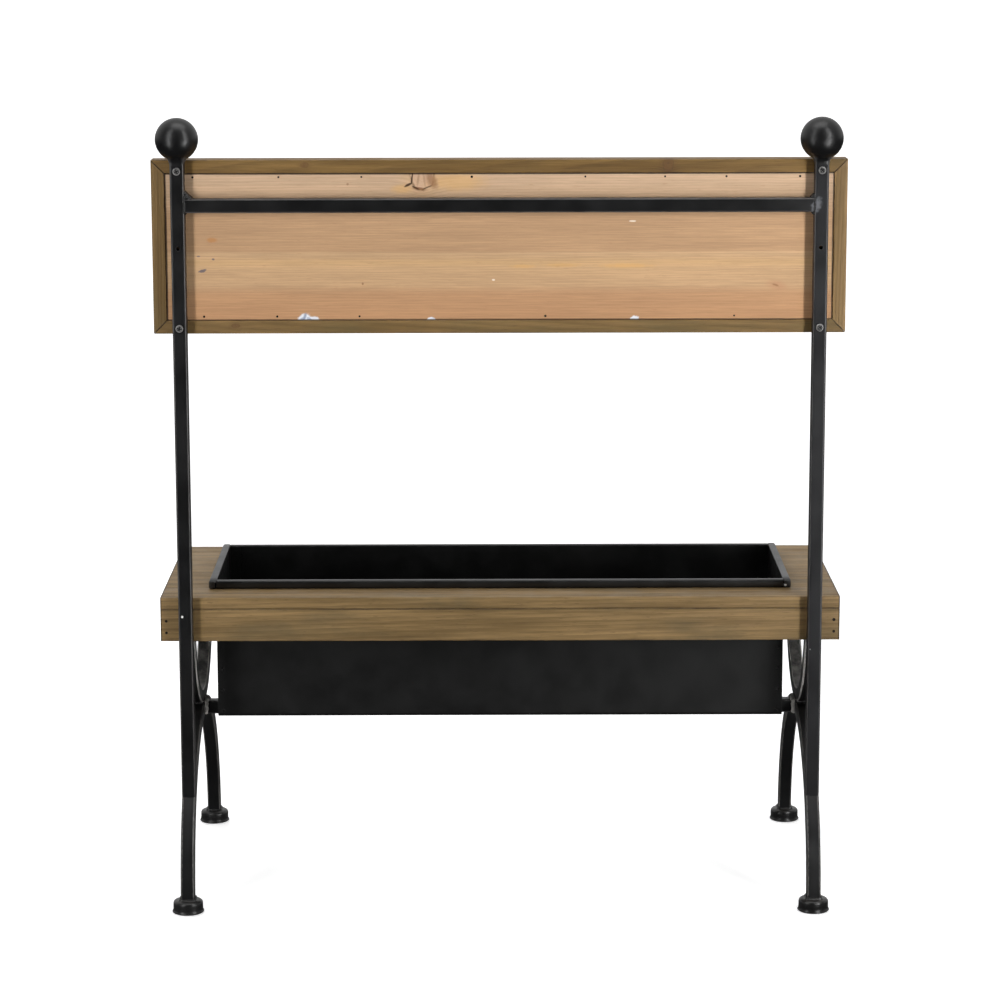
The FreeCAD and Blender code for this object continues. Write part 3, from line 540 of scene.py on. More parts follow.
crackTint = tint(58, 35, 22)
barkTint = tint(136, 92, 60)
goldTint = tint(226, 176, 100)
paintTint = tint(232, 234, 240)
bluePaint = tint(112, 128, 162)
smutTint = tint(98, 94, 102)
paleTint = tint(246, 236, 220)
shadowTint = tint(30, 20, 14)
rawLook = dict(
    pith=(0.0, 0.10, 0.22), ring=0.0027, waver=0.012, fibre=0.0008, bandSway=0.004,
    late=tint(158, 112, 78), gold=tint(214, 166, 98), coreTint=tint(210, 175, 150),
    crack=tint(72, 46, 30), chalk=tint(226, 224, 217), chalkThin=tint(196, 184, 166),
    bands=[
        (0.00, tint(190, 145, 106)), (0.19, tint(192, 149, 110)), (0.25, tint(202, 165, 126)),
        (0.37, tint(205, 168, 127)), (0.41, tint(207, 169, 124)), (0.445, tint(206, 169, 129)),
        (0.475, tint(207, 171, 132)), (0.483, tint(195, 157, 119)), (0.72, tint(196, 158, 121)),
        (0.84, tint(204, 171, 138)), (1.00, tint(208, 177, 146)),
    ],
    knots=[(onPanel(253.5, 1.0), (0.0125, 0.03, 0.0150), 0.010)],
    marks=[
        panelMark(288.0, 8.5, 24.0, 8.0, goldTint, 0.42, soft=0.6),
        panelMark(233.0, 15.5, 9.0, 4.0, goldTint, 0.4, soft=0.6),
        panelMark(263.0, 7.0, 4.5, 8.0, barkTint, 0.65, tilt=-28.0, soft=0.5),
        panelMark(250.5, 15.0, 6.5, 1.5, barkTint, 0.85, tilt=8.0, soft=0.4),
        panelMark(243.4, 5.0, 0.8, 6.0, crackTint, 0.9, tilt=8.0, soft=0.3),
        panelMark(239.5, 11.4, 4.2, 1.2, crackTint, 0.95, tilt=-28.0, soft=0.3),
        panelMark(247.0, 14.2, 4.0, 0.8, crackTint, 0.8, tilt=24.0, soft=0.3),
        panelMark(258.0, 14.0, 4.5, 0.7, crackTint, 0.7, tilt=-24.0, soft=0.3),
        panelMark(604.0, 111.5, 9.0, 4.0, tint(186, 134, 100), 0.4, tilt=10.0, soft=0.7),
        panelMark(602.5, 111.0, 3.2, 1.0, barkTint, 0.6, tilt=18.0, soft=0.5),
        panelMark(249.5, 6.0, 1.1, 6.0, barkTint, 0.4, tilt=8.0, soft=0.6),
        panelMark(255.5, 6.0, 1.0, 6.5, barkTint, 0.35, tilt=-8.0, soft=0.6),
        panelMark(137.0, 145.5, 7.0, 6.8, paintTint, ragged=0.8),
        panelMark(144.5, 146.0, 6.5, 4.4, paintTint),
        panelMark(136.5, 141.5, 1.3, 3.6, bluePaint, 0.7, tilt=18.0, ragged=1.0, soft=0.5),
        panelMark(134.0, 144.2, 2.6, 1.5, bluePaint, 0.6, tilt=-20.0, ragged=1.0, soft=0.5),
        panelMark(140.5, 143.8, 2.2, 1.4, bluePaint, 0.55, tilt=25.0, ragged=1.0, soft=0.5),
        panelMark(261.5, 145.4, 4.0, 3.1, paintTint, ragged=0.8),
        panelMark(463.5, 145.2, 4.6, 3.6, paintTint, ragged=0.9),
        panelMark(352.0, 92.0, 11.0, 1.6, goldTint, 0.4, ragged=1.0, soft=0.7),
        panelMark(392.0, 91.0, 16.0, 1.6, goldTint, 0.35, ragged=1.0, soft=0.7),
        panelMark(455.0, 91.5, 22.0, 2.0, goldTint, 0.45, ragged=1.0, soft=0.7),
        panelMark(658.8, 72.0, 0.9, 110.0, shadowTint, 0.85, ragged=0.3, soft=0.4),
        panelMark(0.2, 72.0, 1.2, 110.0, shadowTint, 0.92, ragged=0.3, soft=0.4),
        panelMark(329.5, 0.2, 520.0, 0.9, shadowTint, 0.88, ragged=0.3, soft=0.4),
        panelMark(329.5, 144.8, 520.0, 0.7, shadowTint, 0.7, ragged=0.3, soft=0.4),
        panelMark(461.0, 47.5, 3.4, 0.8, paleTint, 0.9),
        panelMark(323.5, 105.5, 1.6, 0.9, paleTint, 0.9),
        panelMark(36.0, 96.0, 4.6, 1.5, smutTint, 0.85, tilt=-14.0, ragged=1.3),
        panelMark(32.0, 81.5, 1.8, 0.8, smutTint, 0.7),
        panelMark(46.5, 84.5, 1.3, 1.0, smutTint, 0.8),
        panelMark(45.5, 65.5, 4.8, 2.2, tint(190, 134, 82), 0.8, soft=0.5),
        panelMark(194.0, 109.0, 1.0, 1.3, barkTint, 0.7),
        panelMark(180.0, 10.5, 1.2, 1.2, barkTint, 0.5),
    ],
)
rawPanel = rawPine("rawPanel", rawLook)
print("finishes ready:", len(bpy.data.materials))


# Meshes and pieces
mergeGap = 0.001 * mm
leastRound = 0.12 * mm        # no arris is sharper


def linked(name, data):
    holder = bpy.data.objects.new(name, data)
    scene.collection.objects.link(holder)
    return holder


def evaluated(holder):
    # The mesh that the object's modifiers make
    return bpy.data.meshes.new_from_object(holder.evaluated_get(bpy.context.evaluated_depsgraph_get()))


def finishMesh(shell, name, sharp=35.0):
    bmesh.ops.remove_doubles(shell, verts=shell.verts, dist=mergeGap)
    bmesh.ops.recalc_face_normals(shell, faces=shell.faces)
    mesh = bpy.data.meshes.new(name)
    shell.to_mesh(mesh)
    shell.free()
    mesh.shade_smooth()
    mesh.set_sharp_from_angle(angle=math.radians(sharp))
    return mesh


def addPiece(name, mesh, material, node, body="stand"):
    mesh.materials.clear()
    mesh.materials.append(material)
    piece = linked(name, mesh)
    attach(piece, body)
    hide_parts(node)


def dress(material, *names):
    for name in names:
        for holder in nodes[name].material_slots:
            holder.material = material


def skin(shell, rings):
    rows = [[shell.verts.new(point) for point in ring] for ring in rings]
    count = len(rows[0])
    for lower, upper in zip(rows, rows[1:]):
        for index in range(count):
            after = (index + 1) % count
            shell.faces.new((lower[index], lower[after], upper[after], upper[index]))
    shell.faces.new(rows[0])
    shell.faces.new(rows[-1])


def compass(around, shift=0.0):
    # Cosine and sine of evenly spaced directions
    turns = [2 * math.pi * (number + shift) / around for number in range(around)]
    return [(math.cos(turn), math.sin(turn)) for turn in turns]


def squareReach(c, s, power=7.0):
    # How far a square with soft corners and a half width of one reaches in this direction
    return (abs(c) ** power + abs(s) ** power) ** (-1 / power)


def lathed(shell, profile, centre, around):
    # profile holds (radius, height) pairs from the bottom up
    rings = []
    for radius, height in profile:
        rings.append([centre + Vector((radius * c, radius * s, height)) for c, s in compass(around)])
    skin(shell, rings)


def roundedSection(corners, radii, bends=4):
    points = []
    for index, corner in enumerate(corners):
        here = Vector(corner)
        back = (Vector(corners[index - 1]) - here).normalized()
        ahead = (Vector(corners[(index + 1) % len(corners)]) - here).normalized()
        centre = here + (back + ahead) * radii[index]
        for bend in range(bends + 1):
            angle = math.pi / 2 * bend / bends
            points.append(centre - (ahead * math.cos(angle) + back * math.sin(angle)) * radii[index])
    return points


def wornRadii(radii, wear, at, seed):
    # Each arris has been rubbed down a little, unevenly along its length
    worn = []
    for index, radius in enumerate(radii):
        rub = noise.fractal(Vector((at * 55, index * 7.3, seed * 3.1)), 0.8, 2.0, 3)
        worn.append(max(leastRound, radius + wear * rub))
    return worn


def sweptBoard(corners, radii, low, high, spotOf, seed, shape):
    # low and high say where the board begins and ends at a point of its section
    shell = bmesh.new()
    first = [low(Vector(corner)) for corner in corners]
    last = [high(Vector(corner)) for corner in corners]
    length = max(last) - min(first)
    count = max(8, round(length / shape["ringGap"]))
    rings = []
    for number in range(count + 1):
        share = number / count
        section = roundedSection(corners, wornRadii(radii, shape["wear"], share * length, seed))
        rings.append([spotOf(low(p) * (1 - share) + high(p) * share, p) for p in section])
    skin(shell, rings)
    return shell


def levelBoard(corners, radii, ends, alongX, seed, shape):
    # A board with square ends that lies along X or along Y
    def spotOf(along, point):
        return Vector((along, point.x, point.y)) if alongX else Vector((point.x, along, point.y))

    return sweptBoard(corners, radii, lambda p: ends[0], lambda p: ends[1], spotOf, seed, shape)


# Bench boards
# Darkening beside the board ends is painted shade; beside the seams it is dirt
boardShape = inMetres(ringGap=6, wear=0.55, outer=1.35, seam=0.6, butt=0.2, seamGrime=1.2, endGrime=1.8)
# Where in the wood each board is cut from
boardShifts = {
    "top_board_rear": (0.0, 0.02, 0.01), "top_board_front": (0.7, 0.3, 0.1),
    "top_board_left": (1.3, 0.1, 0.22), "top_board_right": (2.1, 0.16, 0.05),
    "apron_rear": (3.4, 0.0, 0.14), "apron_front": (4.2, 0.25, 0.3),
    "apron_left": (5.1, 0.4, 0.12), "apron_right": (6.3, 0.12, 0.2),
}


def benchBoard(name, *roundings, alongX=True):
    # roundings name the arrises, from the lower one on the -Y or -X side round to the upper one
    lowest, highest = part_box(name)
    side = 1 if alongX else 0
    corners = [(lowest[side], lowest.z), (highest[side], lowest.z),
               (highest[side], highest.z), (lowest[side], highest.z)]
    radii = [boardShape[rounding] for rounding in roundings]
    ends = (lowest[1 - side], highest[1 - side])
    shift = boardShifts[name]
    shell = levelBoard(corners, radii, ends, alongX, shift[0], boardShape)
    seamLevel = lowest.z if name.startswith("top") else highest.z
    grimeAndShade = [((0.0, 0.0, 1.0), seamLevel, boardShape["seamGrime"])]
    # Painted shade beside each end of the board
    for end in ends:
        grimeAndShade.append(((side, 1 - side, 0.0), end, boardShape["endGrime"]))
    turn = (0.0, 0.0, 0.0) if alongX else (0.0, 0.0, math.pi / 2)
    material = stainedWood(name.replace("_", ""), dict(benchLook, shift=shift, turn=turn, grimeAndShade=grimeAndShade))
    addPiece("wood_" + name, finishMesh(shell, name), material, name)


benchBoard("top_board_rear", "butt", "seam", "outer", "butt")
benchBoard("top_board_front", "seam", "butt", "butt", "outer")
benchBoard("top_board_left", "butt", "butt", "butt", "butt")
benchBoard("top_board_right", "butt", "butt", "butt", "butt")
benchBoard("apron_rear", "butt", "outer", "seam", "butt")
benchBoard("apron_front", "outer", "butt", "butt", "seam")
benchBoard("apron_left", "outer", "butt", "butt", "seam", alongX=False)
benchBoard("apron_right", "butt", "outer", "seam", "butt", alongX=False)
print("bench boards ready")

# Sign frame
frameShape = inMetres(ringGap=6, wear=0.4, outer=1.1, inner=0.5, rebate=0.2, mitreGap=0.24, mitreGrime=0.9,
                      panelGap=0.5, knotPush=4)
stileLow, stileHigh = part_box("frame_stile_right")
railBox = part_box("frame_rail_top")
frameLow = Vector((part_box("frame_stile_left")[0].x, railBox[0].y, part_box("frame_rail_bottom")[0].z))
frameHigh = Vector((stileHigh.x, railBox[1].y, railBox[1].z))
barFace = frameHigh.x - panelHigh.x - frameShape["panelGap"]        # seen from behind
barWidth = stileHigh.x - stileLow.x


def frameBar(name, upright, positive, shift, **changes):
    rear, front, rebate = frameHigh.y, frameLow.y, panelLow.y
    corners = [(0.0, rear), (barFace, rear), (barFace, rebate),
               (barWidth, rebate), (barWidth, front), (0.0, front)]
    radii = [frameShape[edge] for edge in ("outer", "inner", "rebate", "inner", "outer", "outer")]
    axis, cross = (2, 0) if upright else (0, 2)
    ends = (frameLow[axis], frameHigh[axis])
    edge = frameHigh[cross] if positive else frameLow[cross]
    inward = -1 if positive else 1

    def spotOf(along, point):
        across = edge + inward * point.x
        return Vector((across, point.y, along)) if upright else Vector((along, point.y, across))

    def low(point):
        return ends[0] + frameShape["mitreGap"] + point.x

    def high(point):
        return ends[1] - frameShape["mitreGap"] - point.x

    shell = sweptBoard(corners, radii, low, high, spotOf, shift[0], frameShape)
    grimeAndShade = []
    for end in ends:
        corner = Vector((edge, 0.0, end)) if upright else Vector((end, 0.0, edge))
        slant = corner - (frameLow + frameHigh) / 2
        across = Vector((math.copysign(1.0, slant.z), 0.0, -math.copysign(1.0, slant.x))).normalized()
        grimeAndShade.append((across, across.dot(corner), frameShape["mitreGrime"]))
    turn = (0.0, math.pi / 2, 0.0) if upright else (0.0, 0.0, 0.0)
    look = dict(frameLook, shift=shift, turn=turn, grimeAndShade=grimeAndShade, **changes)
    material = stainedWood(name.replace("_", ""), look)
    addPiece("wood_" + name, finishMesh(shell, name), material, name)


def frameKnot(x, z, *radii):
    return (x, frameHigh.y, z), radii, frameShape["knotPush"]


frameBar("frame_rail_top", False, True, (0.2, 0.0, 0.0), dark=tint(106, 80, 42), light=tint(138, 108, 61),
         knots=[frameKnot(-0.166, frameHigh.z - 5 * mm, 0.005, 0.02, 0.009),
                frameKnot(0.192, frameHigh.z - 5 * mm, 0.004, 0.012, 0.003)])
frameBar("frame_rail_bottom", False, False, (1.7, 0.1, 0.05),
         knots=[frameKnot(0.262, frameLow.z + 8 * mm, 0.004, 0.012, 0.002)])
frameBar("frame_stile_left", True, False, (2.9, 0.05, 0.12), wear=0.95, raw=tint(204, 156, 102),
         dark=tint(122, 97, 59), light=tint(157, 127, 83))
frameBar("frame_stile_right", True, True, (4.4, 0.2, 0.07))
dress(rawPanel, "sign_panel")
print("sign board ready")

# Balls on the posts, with the parting line of their pressing
ballShape = {"around": 72, "rows": 44, "seamAngle": -34.0, "seamDepth": 0.22 * mm, "seamSpread": 1.6}
tip = 0.02 * mm        # radius at which a turned shape is closed


def makeBall(name):
    lowest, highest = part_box(name)
    radius = (highest.x - lowest.x) / 2
    centre = (lowest + highest) / 2
    centre.z = highest.z - radius
    start = math.asin((lowest.z - centre.z) / radius)
    profile = []
    for row in range(ballShape["rows"] + 1):
        angle = start + (math.pi / 2 - start) * row / ballShape["rows"]
        off = (math.degrees(angle) - ballShape["seamAngle"]) / ballShape["seamSpread"]
        size = radius - ballShape["seamDepth"] * math.exp(-off * off)
        profile.append((max(size * math.cos(angle), tip), size * math.sin(angle)))
    shell = bmesh.new()
    lathed(shell, profile, centre, ballShape["around"])
    addPiece("ball_" + name, finishMesh(shell, name, 60.0), blackBall, name)


# Necks: weld metal run up from the square tube onto the ball
neckShape = dict(inMetres(start=6.5, rise=10.5, skin=0.15, lump=0.35, sunk=0.1, above=0.3, clear=0.05),
                 rows=14, around=48, flare=2.1)


def neckRing(side, share):
    lowest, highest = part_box("post_" + side)
    ballLow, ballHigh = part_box("finial_" + side)
    centre = (lowest + highest) / 2
    half = (highest.x - lowest.x) / 2 + neckShape["skin"]
    radius = (ballHigh.x - ballLow.x) / 2
    start = highest.z - neckShape["start"]
    z = start + neckShape["rise"] * share
    drop = ballHigh.z - radius - (start + neckShape["rise"])
    reach = math.sqrt(radius * radius - drop * drop) - neckShape["sunk"]
    ring = []
    for c, s in compass(neckShape["around"], 0.5):
        square = half * squareReach(c, s)
        size = square + (reach - square) * share ** neckShape["flare"]
        lump = noise.noise(Vector((c * 2.2, s * 2.2, z * 260 + centre.x * 50)))
        size += neckShape["lump"] * lump * math.sin(math.pi * share)
        y = centre.y + size * s
        if z < frameHigh.z + neckShape["above"]:
            y = max(y, frameHigh.y + neckShape["clear"])
        ring.append(Vector((centre.x + size * c, y, z)))
    return ring


neckShell = bmesh.new()
for side in sides:
    makeBall("finial_" + side)
    skin(neckShell, [neckRing(side, row / neckShape["rows"]) for row in range(neckShape["rows"] + 1)])
addPiece("neck_welds", finishMesh(neckShell, "neck_welds", 60.0), blackSteel, "finial_welds")
print("balls and necks ready")


# Geometry Nodes trees
def newTree(name, inputs):
    shape = ("Geometry", "Geometry")
    made = newGroup(name, [shape + (None,)] + inputs, [shape], "GeometryNodeTree")
    made[0].is_modifier = True
    return made


def runTree(name, mesh, tree, values):
    # The modifier's result becomes a plain mesh, and the carrier goes
    carrier = linked(name + "_carrier", mesh)
    modifier = carrier.modifiers.new(name, "NODES")
    modifier.node_group = tree
    for item in tree.interface.items_tree:
        if item.in_out == "INPUT" and item.name in values:
            modifier[item.identifier] = values[item.name]
    made = evaluated(carrier)
    made.name = name
    bpy.data.objects.remove(carrier)
    return made


def randomValue(tree, low, high, seed):
    inputs = {2: low, 3: high, "Seed": seed}        # the sockets for plain numbers
    return place(tree, "FunctionNodeRandomValue", inputs, data_type="FLOAT").outputs[1]


def randomFactor(tree, uneven, seed):
    low = maths(tree, "SUBTRACT", 1.0, uneven)
    high = maths(tree, "ADD", 1.0, uneven)
    return randomValue(tree, low, high, seed)


def readPoint(tree, name, kind):
    return place(tree, "GeometryNodeInputNamedAttribute", {"Name": name}, data_type=kind).outputs[0]


def realized(tree, shape):
    return place(tree, "GeometryNodeRealizeInstances", {"Geometry": shape}).outputs[0]


def withFinish(tree, shape, finish):
    return place(tree, "GeometryNodeSetMaterial", {"Geometry": shape, "Material": finish}).outputs[0]


def makeFastenerTree():
    # A head on every point, facing the way the point says, turned at random about its own axis
    tree, given, result = newTree("fastenerHeads", [
        ("Head", "Object", None), ("Size Spread", "Float", 0.05), ("Turn", "Float", 6.283),
        ("Seed", "Int", 3), ("Finish", "Material", None),
    ])
    head = place(tree, "GeometryNodeObjectInfo", {"Object": given["Head"]}).outputs["Geometry"]
    facing = readPoint(tree, "facing", "FLOAT_VECTOR")
    aim = place(tree, "FunctionNodeAlignRotationToVector", {"Vector": facing}, axis="Z").outputs[0]
    turn = randomValue(tree, 0.0, given["Turn"], given["Seed"])
    about = {"Axis": (0.0, 0.0, 1.0), "Angle": turn}
    spin = place(tree, "FunctionNodeAxisAngleToRotation", about).outputs[0]
    turned = place(tree, "FunctionNodeRotateRotation", {0: aim, 1: spin}, rotation_space="LOCAL").outputs[0]
    size = randomFactor(tree, given["Size Spread"], given["Seed"])
    heads = place(tree, "GeometryNodeInstanceOnPoints", {
        "Points": given["Geometry"], "Instance": head, "Rotation": turned, "Scale": size,
    }).outputs[0]
    feed(tree, result[0], withFinish(tree, realized(tree, heads), given["Finish"]))
    return tree


def makeWeldTree():
    # Overlapping drops along each line, melted into one ridged bead
    tree, given, result = newTree("weldBeads", [
        ("Pitch", "Float", 0.0016), ("Uneven", "Float", 0.16), ("Voxel", "Float", 0.0004),
        ("Seed", "Int", 5), ("Finish", "Material", None),
    ])
    lines = place(tree, "GeometryNodeMeshToCurve", {0: given["Geometry"]}).outputs[0]
    along = {"Curve": lines, "Length": given["Pitch"]}
    drops = place(tree, "GeometryNodeCurveToPoints", along, mode="LENGTH")
    size = readPoint(tree, "beadSize", "FLOAT")
    scale = times(tree, size, randomFactor(tree, given["Uneven"], given["Seed"]))
    drop = place(tree, "GeometryNodeMeshIcoSphere", {"Radius": 1.0, "Subdivisions": 3}).outputs[0]
    row = place(tree, "GeometryNodeInstanceOnPoints", {
        "Points": drops.outputs[0], "Instance": drop, "Rotation": drops.outputs["Rotation"], "Scale": scale,
    }).outputs[0]
    solid = realized(tree, row)
    fog = place(tree, "GeometryNodeMeshToVolume", {
        "Mesh": solid, "Voxel Size": given["Voxel"], "Interior Band Width": 0.002,
    }, resolution_mode="VOXEL_SIZE").outputs[0]
    melted = place(tree, "GeometryNodeVolumeToMesh", {"Volume": fog, "Threshold": 0.1}).outputs[0]
    smooth = place(tree, "GeometryNodeSetShadeSmooth", {0: melted}).outputs[0]
    feed(tree, result[0], withFinish(tree, realized(tree, smooth), given["Finish"]))
    return tree


fastenerHeads = makeFastenerTree()
weldBeads = makeWeldTree()


# Fasteners
def pointCloud(name, points):
    mesh = bpy.data.meshes.new(name)
    mesh.from_pydata([spot for spot, facing in points], [], [])
    attribute = mesh.attributes.new("facing", "FLOAT_VECTOR", "POINT")
    for index, (spot, facing) in enumerate(points):
        attribute.data[index].vector = facing
    return mesh


def headObject(name, profile, around, recess=None):
    shell = bmesh.new()
    lathed(shell, profile, Vector((0.0, 0.0, 0.0)), around)
    head = linked(name, finishMesh(shell, name, 40.0))
    if recess:
        cutter = bmesh.new()
        for turn in (0.0, math.pi / 2):
            size = Matrix.Diagonal((recess["span"], recess["width"], 2 * recess["depth"], 1.0))
            lift = Matrix.Translation((0.0, 0.0, recess["top"]))
            bmesh.ops.create_cube(cutter, size=1.0, matrix=lift @ Matrix.Rotation(turn, 4, "Z") @ size)
        cross = linked(name + "_cross", finishMesh(cutter, name + "_cross"))
        cut = head.modifiers.new("recess", "BOOLEAN")
        cut.object = cross
        cut.operation = "DIFFERENCE"
        cut.use_self = True
        made = evaluated(head)
        head.modifiers.remove(cut)
        head.data = made
        bpy.data.objects.remove(cross)
    return head


def placeHeads(name, node, head, points, material, seed, uneven, body="stand"):
    values = {"Head": head, "Finish": material, "Seed": seed, "Size Spread": uneven}
    mesh = runTree(name, pointCloud(name, points), fastenerHeads, values)
    bpy.data.objects.remove(head)
    addPiece(name, mesh, material, node, body)


screwShape = inMetres(head=7.7, high=2.6, round=1.8, crown=0.12, peak=0.14, fromTop=10, fromBottom=7,
                      bearerSpread=60)
crossShape = inMetres(span=4.8, width=1.35, depth=1.3, top=2.6)


def panHead(name):
    half, high, curve = screwShape["head"] / 2, screwShape["high"], screwShape["round"]
    profile = [(half * 0.5, 0.0), (half, 0.0)]
    for step in range(7):
        angle = math.pi / 2 * step / 6
        profile.append((half - curve + curve * math.cos(angle), high - curve + curve * math.sin(angle)))
    profile.append((half * 0.2, high + screwShape["crown"]))
    profile.append((tip, high + screwShape["peak"]))
    return headObject(name, profile, 40, crossShape)


panelSpots = []
bearerSpots = []
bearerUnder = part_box("bearer_left")[0].z
for side in sides:
    for z in (frameHigh.z - screwShape["fromTop"], frameLow.z + screwShape["fromBottom"]):
        panelSpots.append(((postLines[side], postRear, z), rearward))
    for way in (-1, 1):
        bearerSpots.append(((postLines[side], way * screwShape["bearerSpread"], bearerUnder), downward))
placeHeads("panel_screw_heads", "panel_screws", panHead("panHead"), panelSpots,
           screwMetal, 11, 0.02)
placeHeads("bearer_screw_heads", "bearer_screws", panHead("bearerHead"), bearerSpots,
           screwMetal, 4, 0.02)


nailRoot = inMetres(deep=-0.4, shoulder=-0.2)        # in the wood


def dishedHead(name, shape):
    radius, proud = shape["radius"], shape["proud"]
    dish = proud - shape["dish"]
    profile = [(radius * 0.6, nailRoot["deep"]), (radius * 0.9, nailRoot["shoulder"]), (radius, 0.0),
               (radius * 0.92, proud), (radius * 0.7, proud * 0.8), (radius * 0.35, dish), (tip, dish)]
    return headObject(name, profile, 18)


bradShape = inMetres(radius=1.1, proud=0.12, dish=0.25, reach=302, inset=3.5)
bradRows = {
    panelHigh.z - bradShape["inset"]: (-0.98, -0.74, -0.54, -0.28, 0.09, 0.45, 0.72, 1.0),
    panelLow.z + bradShape["inset"]: (-0.77, -0.15, 0.46, 0.73, 0.97),
}
bradSpots = []
for z, shares in bradRows.items():
    for share in shares:
        bradSpots.append(((share * bradShape["reach"], panelHigh.y, z), rearward))
placeHeads("panel_brad_heads", "panel_brads", dishedHead("bradHead", bradShape), bradSpots,
           nailMetal, 7, 0.16)

nailShape = inMetres(radius=1.5, proud=0.16, dish=0.06, inset=1.2)
nailLow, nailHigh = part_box("apron_nails")
nailSpots = []
for x in (nailLow.x + nailShape["inset"], nailHigh.x - nailShape["inset"]):
    for z in (nailLow.z + nailShape["inset"], nailHigh.z - nailShape["inset"]):
        nailSpots.append(((x, nailHigh.y, z), rearward))
        nailSpots.append(((x, nailLow.y, z), frontward))
placeHeads("apron_nail_heads", "apron_nails", dishedHead("nailHead", nailShape), nailSpots,
           nailMetal, 9, 0.12)

spotShape = dict(inMetres(radius=2.0, lip=0.35, root=-0.3, edge=0.02, hollow=0.08, floor=0.05,
                          inset=5, low=6, pitch=22), rows=4)
spotRadius, spotLip = spotShape["radius"], spotShape["lip"]
dimple = [(spotRadius, spotShape["root"]), (spotRadius, spotShape["edge"]), (spotRadius * 0.8, spotLip),
          (spotRadius * 0.6, spotLip * 0.9), (spotRadius * 0.3, spotShape["hollow"]),
          (tip, spotShape["floor"])]
spotWelds = []
for x in (troughLow.x + spotShape["inset"], troughHigh.x - spotShape["inset"]):
    for row in range(spotShape["rows"]):
        z = troughLow.z + spotShape["low"] + row * spotShape["pitch"]
        spotWelds.append(((x, troughHigh.y, z), rearward))
        spotWelds.append(((x, troughLow.y, z), frontward))
placeHeads("trough_spot_dimples", "trough_spot_welds", headObject("dimple", dimple, 20), spotWelds,
           spotMetalPaintedShade, 2, 0.2, "planter_trough")
print("fasteners ready")


# Welds
def weldLines(name, lines):
    # Each line is two ends and one bead radius
    mesh = bpy.data.meshes.new(name)
    spots = [spot for ends, size in lines for spot in ends]
    edges = [(2 * number, 2 * number + 1) for number in range(len(lines))]
    mesh.from_pydata(spots, edges, [])
    attribute = mesh.attributes.new("beadSize", "FLOAT", "POINT")
    for number, (ends, size) in enumerate(lines):
        attribute.data[2 * number].value = size
        attribute.data[2 * number + 1].value = size
    return mesh


def weldPiece(name, node, lines, seed, finish):
    mesh = runTree(name, weldLines(name, lines), weldBeads, {"Finish": finish, "Seed": seed})
    addPiece(name, mesh, finish, node)


railLow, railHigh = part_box("upper_rail")
railShape = dict(inMetres(run=1.7, face=1.5, margin=2, lift=1), fill=0.40, lines=5)
railLegs = {"left": (4.0 * mm, 3.5 * mm), "right": (7.5 * mm, 2.5 * mm)}        # over and under the rail


def wedgeLines(x, way, z, up, leg):
    # Runs side by side fill the corner between post and rail up to a slope
    start, end = railLow.y + railShape["margin"], railHigh.y - railShape["margin"]
    size = min(railShape["run"], leg * 0.4)
    runs = []
    for number in range(railShape["lines"]):
        share = number / (railShape["lines"] - 1)
        runs.append((x - way * (leg - size) * share, z + up * (leg - size) * (1 - share), size))
    runs.append((x - way * leg * 0.22, z + up * leg * 0.22, leg * railShape["fill"]))
    return [([(across, start, high), (across, end, high)], size) for across, high, size in runs]


railLines = []
for side, way, x in (("left", -1, railLow.x), ("right", 1, railHigh.x)):
    above, below = railLegs[side]
    railLines += wedgeLines(x, way, railHigh.z, 1, above)
    railLines += wedgeLines(x, way, railLow.z, -1, below)
    rear = railHigh.y - railShape["face"] * 0.55
    railLines.append(([(x, rear, railLow.z + railShape["lift"]), (x, rear, railHigh.z)], railShape["face"]))
weldPiece("rail_weld_beads", "rail_welds", railLines, 21, weldMetal)

barLow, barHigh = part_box("stretcher")
barShape = inMetres(over=3.4, side=2.8, margin=2, lift=2, short=1)
barLines = []
for way, x in ((-1, barLow.x), (1, barHigh.x)):
    size, beside = barShape["over"], barShape["side"]
    inner = x - way * size * 0.3
    top = barHigh.z + size * 0.25
    start, end = barLow.y + barShape["margin"], barHigh.y - barShape["margin"]
    barLines.append(([(inner, start, top), (inner, end, top)], size))
    for y in (barLow.y - beside * 0.25, barHigh.y + beside * 0.25):
        inner = x - way * beside * 0.3
        start, end = barLow.z + barShape["lift"], barHigh.z - barShape["short"]
        barLines.append(([(inner, y, start), (inner, y, end)], beside))
weldPiece("stretcher_weld_beads", "stretcher_welds", barLines, 22, bareWeldPaintedHighlight)

arcShape = inMetres(near=11, far=16, nearSize=1.4, farSize=2.0, nearLift=0.1, farLift=0.3, margin=2)
arcLines = []
for side in sides:
    lowest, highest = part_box("lower_arc_" + side)
    start, end = lowest.x + arcShape["margin"], highest.x - arcShape["margin"]
    for way in (-1, 1):
        for run in ("near", "far"):
            y, z = way * arcShape[run], highest.z + arcShape[run + "Lift"]
            arcLines.append(([(start, y, z), (end, y, z)], arcShape[run + "Size"]))
weldPiece("arc_weld_beads", "arc_welds", arcLines, 23, weldMetal)
print("welds ready")

# The rolled rim: side bars run past the long ones, as the folded sheet does at its corners
rimShape = inMetres(ringGap=8, wear=0.25, top=2.2, lip=1.2, under=2.2, inset=0.5, seam=0.25, wall=1.0,
                    longDrop=0.25, fit=0.02, fold=0.3, nook=0.12, endRound=1.6, endDepth=8.8, atEnd=0.01)
rimEndSize = 0.72        # of the full section
rimLow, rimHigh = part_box("trough_rim")


